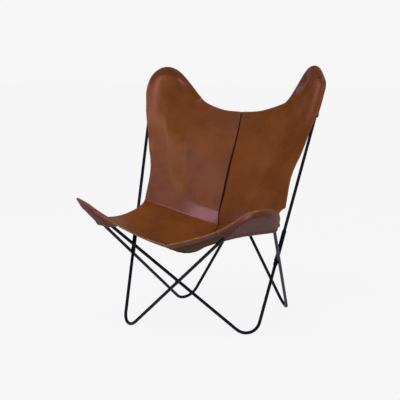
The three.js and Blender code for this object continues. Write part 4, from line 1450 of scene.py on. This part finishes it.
away, axes = camera_axes()
camera_data = bpy.data.cameras.new("camera")
camera_data.lens = FOCAL / PIXELS * camera_data.sensor_width
camera = bpy.data.objects.new("camera", camera_data)
camera.matrix_world = Matrix.Translation(TARGET + away * DISTANCE) @ axes.to_4x4()
scene.collection.objects.link(camera)
scene.camera = camera
print("camera", [round(v, 3) for v in camera.location], "lens", round(camera_data.lens, 1), "mm")

# %% [markdown]
# Floor
#
# The chair stands on pale paper that runs up behind it without a line. A curved backdrop would do it
# in a studio. Here the floor is flat and shows the camera and mirrors one even tone, mixed with a
# little of its real shading, so that the soft shadow stays. For all other rays it is plain matt paper,
# so it throws a natural bounce light under the seat.

# %% Paper floor
PAPER, FLOOR_PAPER = (246, 246, 246), (251, 251, 251)
BOUNCE, BOUNCE_WARM, FLOOR_SHADOW = 0.5, 0.97, 0.07
FLOOR_SIZE, FLOOR_BACK = 16, 6.4


def seen_rays(tree):
    """1 for the rays that show a background: straight to the camera, or through gloss and glass."""
    path = tree.nodes.new("ShaderNodeLightPath")
    first, *others = [Socket(tree, path.outputs[f"Is {kind} Ray"])
                      for kind in ("Camera", "Glossy", "Transmission")]
    for ray in others:
        first = first + ray
    return first.clamp()


def floor_paper(name):
    m = Material(name)
    seen = seen_rays(m.tree)
    warm = BOUNCE * BOUNCE_WARM
    tone = m.noise(30, 3).mix((BOUNCE, BOUNCE, BOUNCE, 1), (warm, warm, BOUNCE, 1))
    m.set(Base_Color=tone, Roughness=0.9, Specular_IOR_Level=0.0)
    glow = seen.node("ShaderNodeEmission", {"Color": rgb(*FLOOR_PAPER), "Strength": 1.0})
    matt = Socket(m.tree, m.shader.outputs[0])
    both = seen.node("ShaderNodeMixShader", {0: seen * (1 - FLOOR_SHADOW), 1: matt, 2: glow})
    m.tree.links.new(both.socket, m.tree.nodes["Material Output"].inputs[0])
    return m.done()


bpy.ops.mesh.primitive_plane_add(size=FLOOR_SIZE, location=(0, FLOOR_BACK, 0))
floor = bpy.context.object
floor.name = "floor"
floor.data.materials.append(floor_paper("floor_paper"))
print("floor", FLOOR_SIZE, "m wide")

# %% [markdown]
# The room around the chair
#
# What a shiny rod shows is the room. The camera itself sees pale paper everywhere. Mirror rays see
# that paper only straight behind the chair and low, and a dark room elsewhere, which draws the dark
# rods and keeps the leather from looking wet. Soft light from all sides comes from a grey gradient. A
# background picture could hold only one of the three. Light Path tells the rays apart, so that one
# world can show each kind of ray its own.

# %% Studio world
BACKDROP_WAY, BACKDROP_EDGE = (-0.35, 0.94, 0), (0.84, 0.97)
BACKDROP_TOP, SKY_RISE = (0.2, 0.5), (-0.2, 0.7)
ROOM = (0.06, 0.06, 0.08, 1)
AMBIENT_HIGH, AMBIENT_LOW = (0.5, 0.5, 0.5, 1), (0.3, 0.3, 0.32, 1)

world = bpy.data.worlds.new("studio")
scene.world = world
world.use_nodes = True
tree = world.node_tree
where = Socket(tree, tree.nodes.new("ShaderNodeTexCoord").outputs["Generated"])
height = where.node("ShaderNodeSeparateXYZ", {"Vector": where}, output=2)
backdrop = where.node("ShaderNodeVectorMath", {0: where, 1: BACKDROP_WAY}, output=1, operation="DOT_PRODUCT")
backdrop = backdrop.between(*BACKDROP_EDGE) * (1 - height.between(*BACKDROP_TOP))
mirrored = backdrop.mix(ROOM, rgb(*PAPER))
ambient = height.between(*SKY_RISE).mix(AMBIENT_LOW, AMBIENT_HIGH)
camera_ray = Socket(tree, tree.nodes.new("ShaderNodeLightPath").outputs["Is Camera Ray"])
sky = camera_ray.mix(seen_rays(tree).mix(ambient, mirrored), rgb(*PAPER))
tree.links.new(sky.socket, tree.nodes["Background"].inputs["Color"])
print("world with", len(tree.nodes), "nodes")

# %% [markdown]
# Lamps
#
# The photograph has a very plain light with a few soft, slightly violet gleams. One large lamp could
# give both, but then a gleam can't be moved without moving all the light. So a large soft lamp above
# lights the leather and makes no gleam, and three lamps make the gleams in the crease, the hoods and
# the wings and add no other light. Each lamp's own ray visibility switches this.

# %% Soft lamps
LAMP_DISTANCE = 3.5
CHAIR_MIDDLE = (0, 0.1, 0.5)


def softbox(name, way, size, power, colour, shines=True, gleams=True):
    """A lamp that far from the middle of the chair. It may light matt surfaces, gloss or both."""
    light = bpy.data.lights.new(name, "AREA")
    light.shape, light.size, light.size_y = "RECTANGLE", *size
    light.energy, light.color = power, colour
    lamp = bpy.data.objects.new(name, light)
    way = Vector(way).normalized()
    lamp.location = Vector(CHAIR_MIDDLE) + way * LAMP_DISTANCE
    lamp.rotation_euler = (-way).to_track_quat("-Z", "Y").to_euler()
    lamp.visible_diffuse, lamp.visible_glossy = shines, gleams
    scene.collection.objects.link(lamp)
    print(name, power, "W", [round(v, 2) for v in lamp.location])


softbox("top", (0.0, -0.55, 0.83), (2.0, 2.0), 72, (1.0, 0.97, 0.94), gleams=False)
softbox("front_gleam", (0.02, -0.95, 0.27), (1.1, 2.0), 60, (0.95, 0.9, 1.0), shines=False)
softbox("right_gleam", (0.4, -0.42, 0.81), (0.8, 0.9), 13, (1.0, 0.8, 0.42), shines=False)
softbox("left_gleam", (-0.88, -0.42, 0.2), (1.4, 1.2), 18, (0.5, 0.66, 1.0), shines=False)
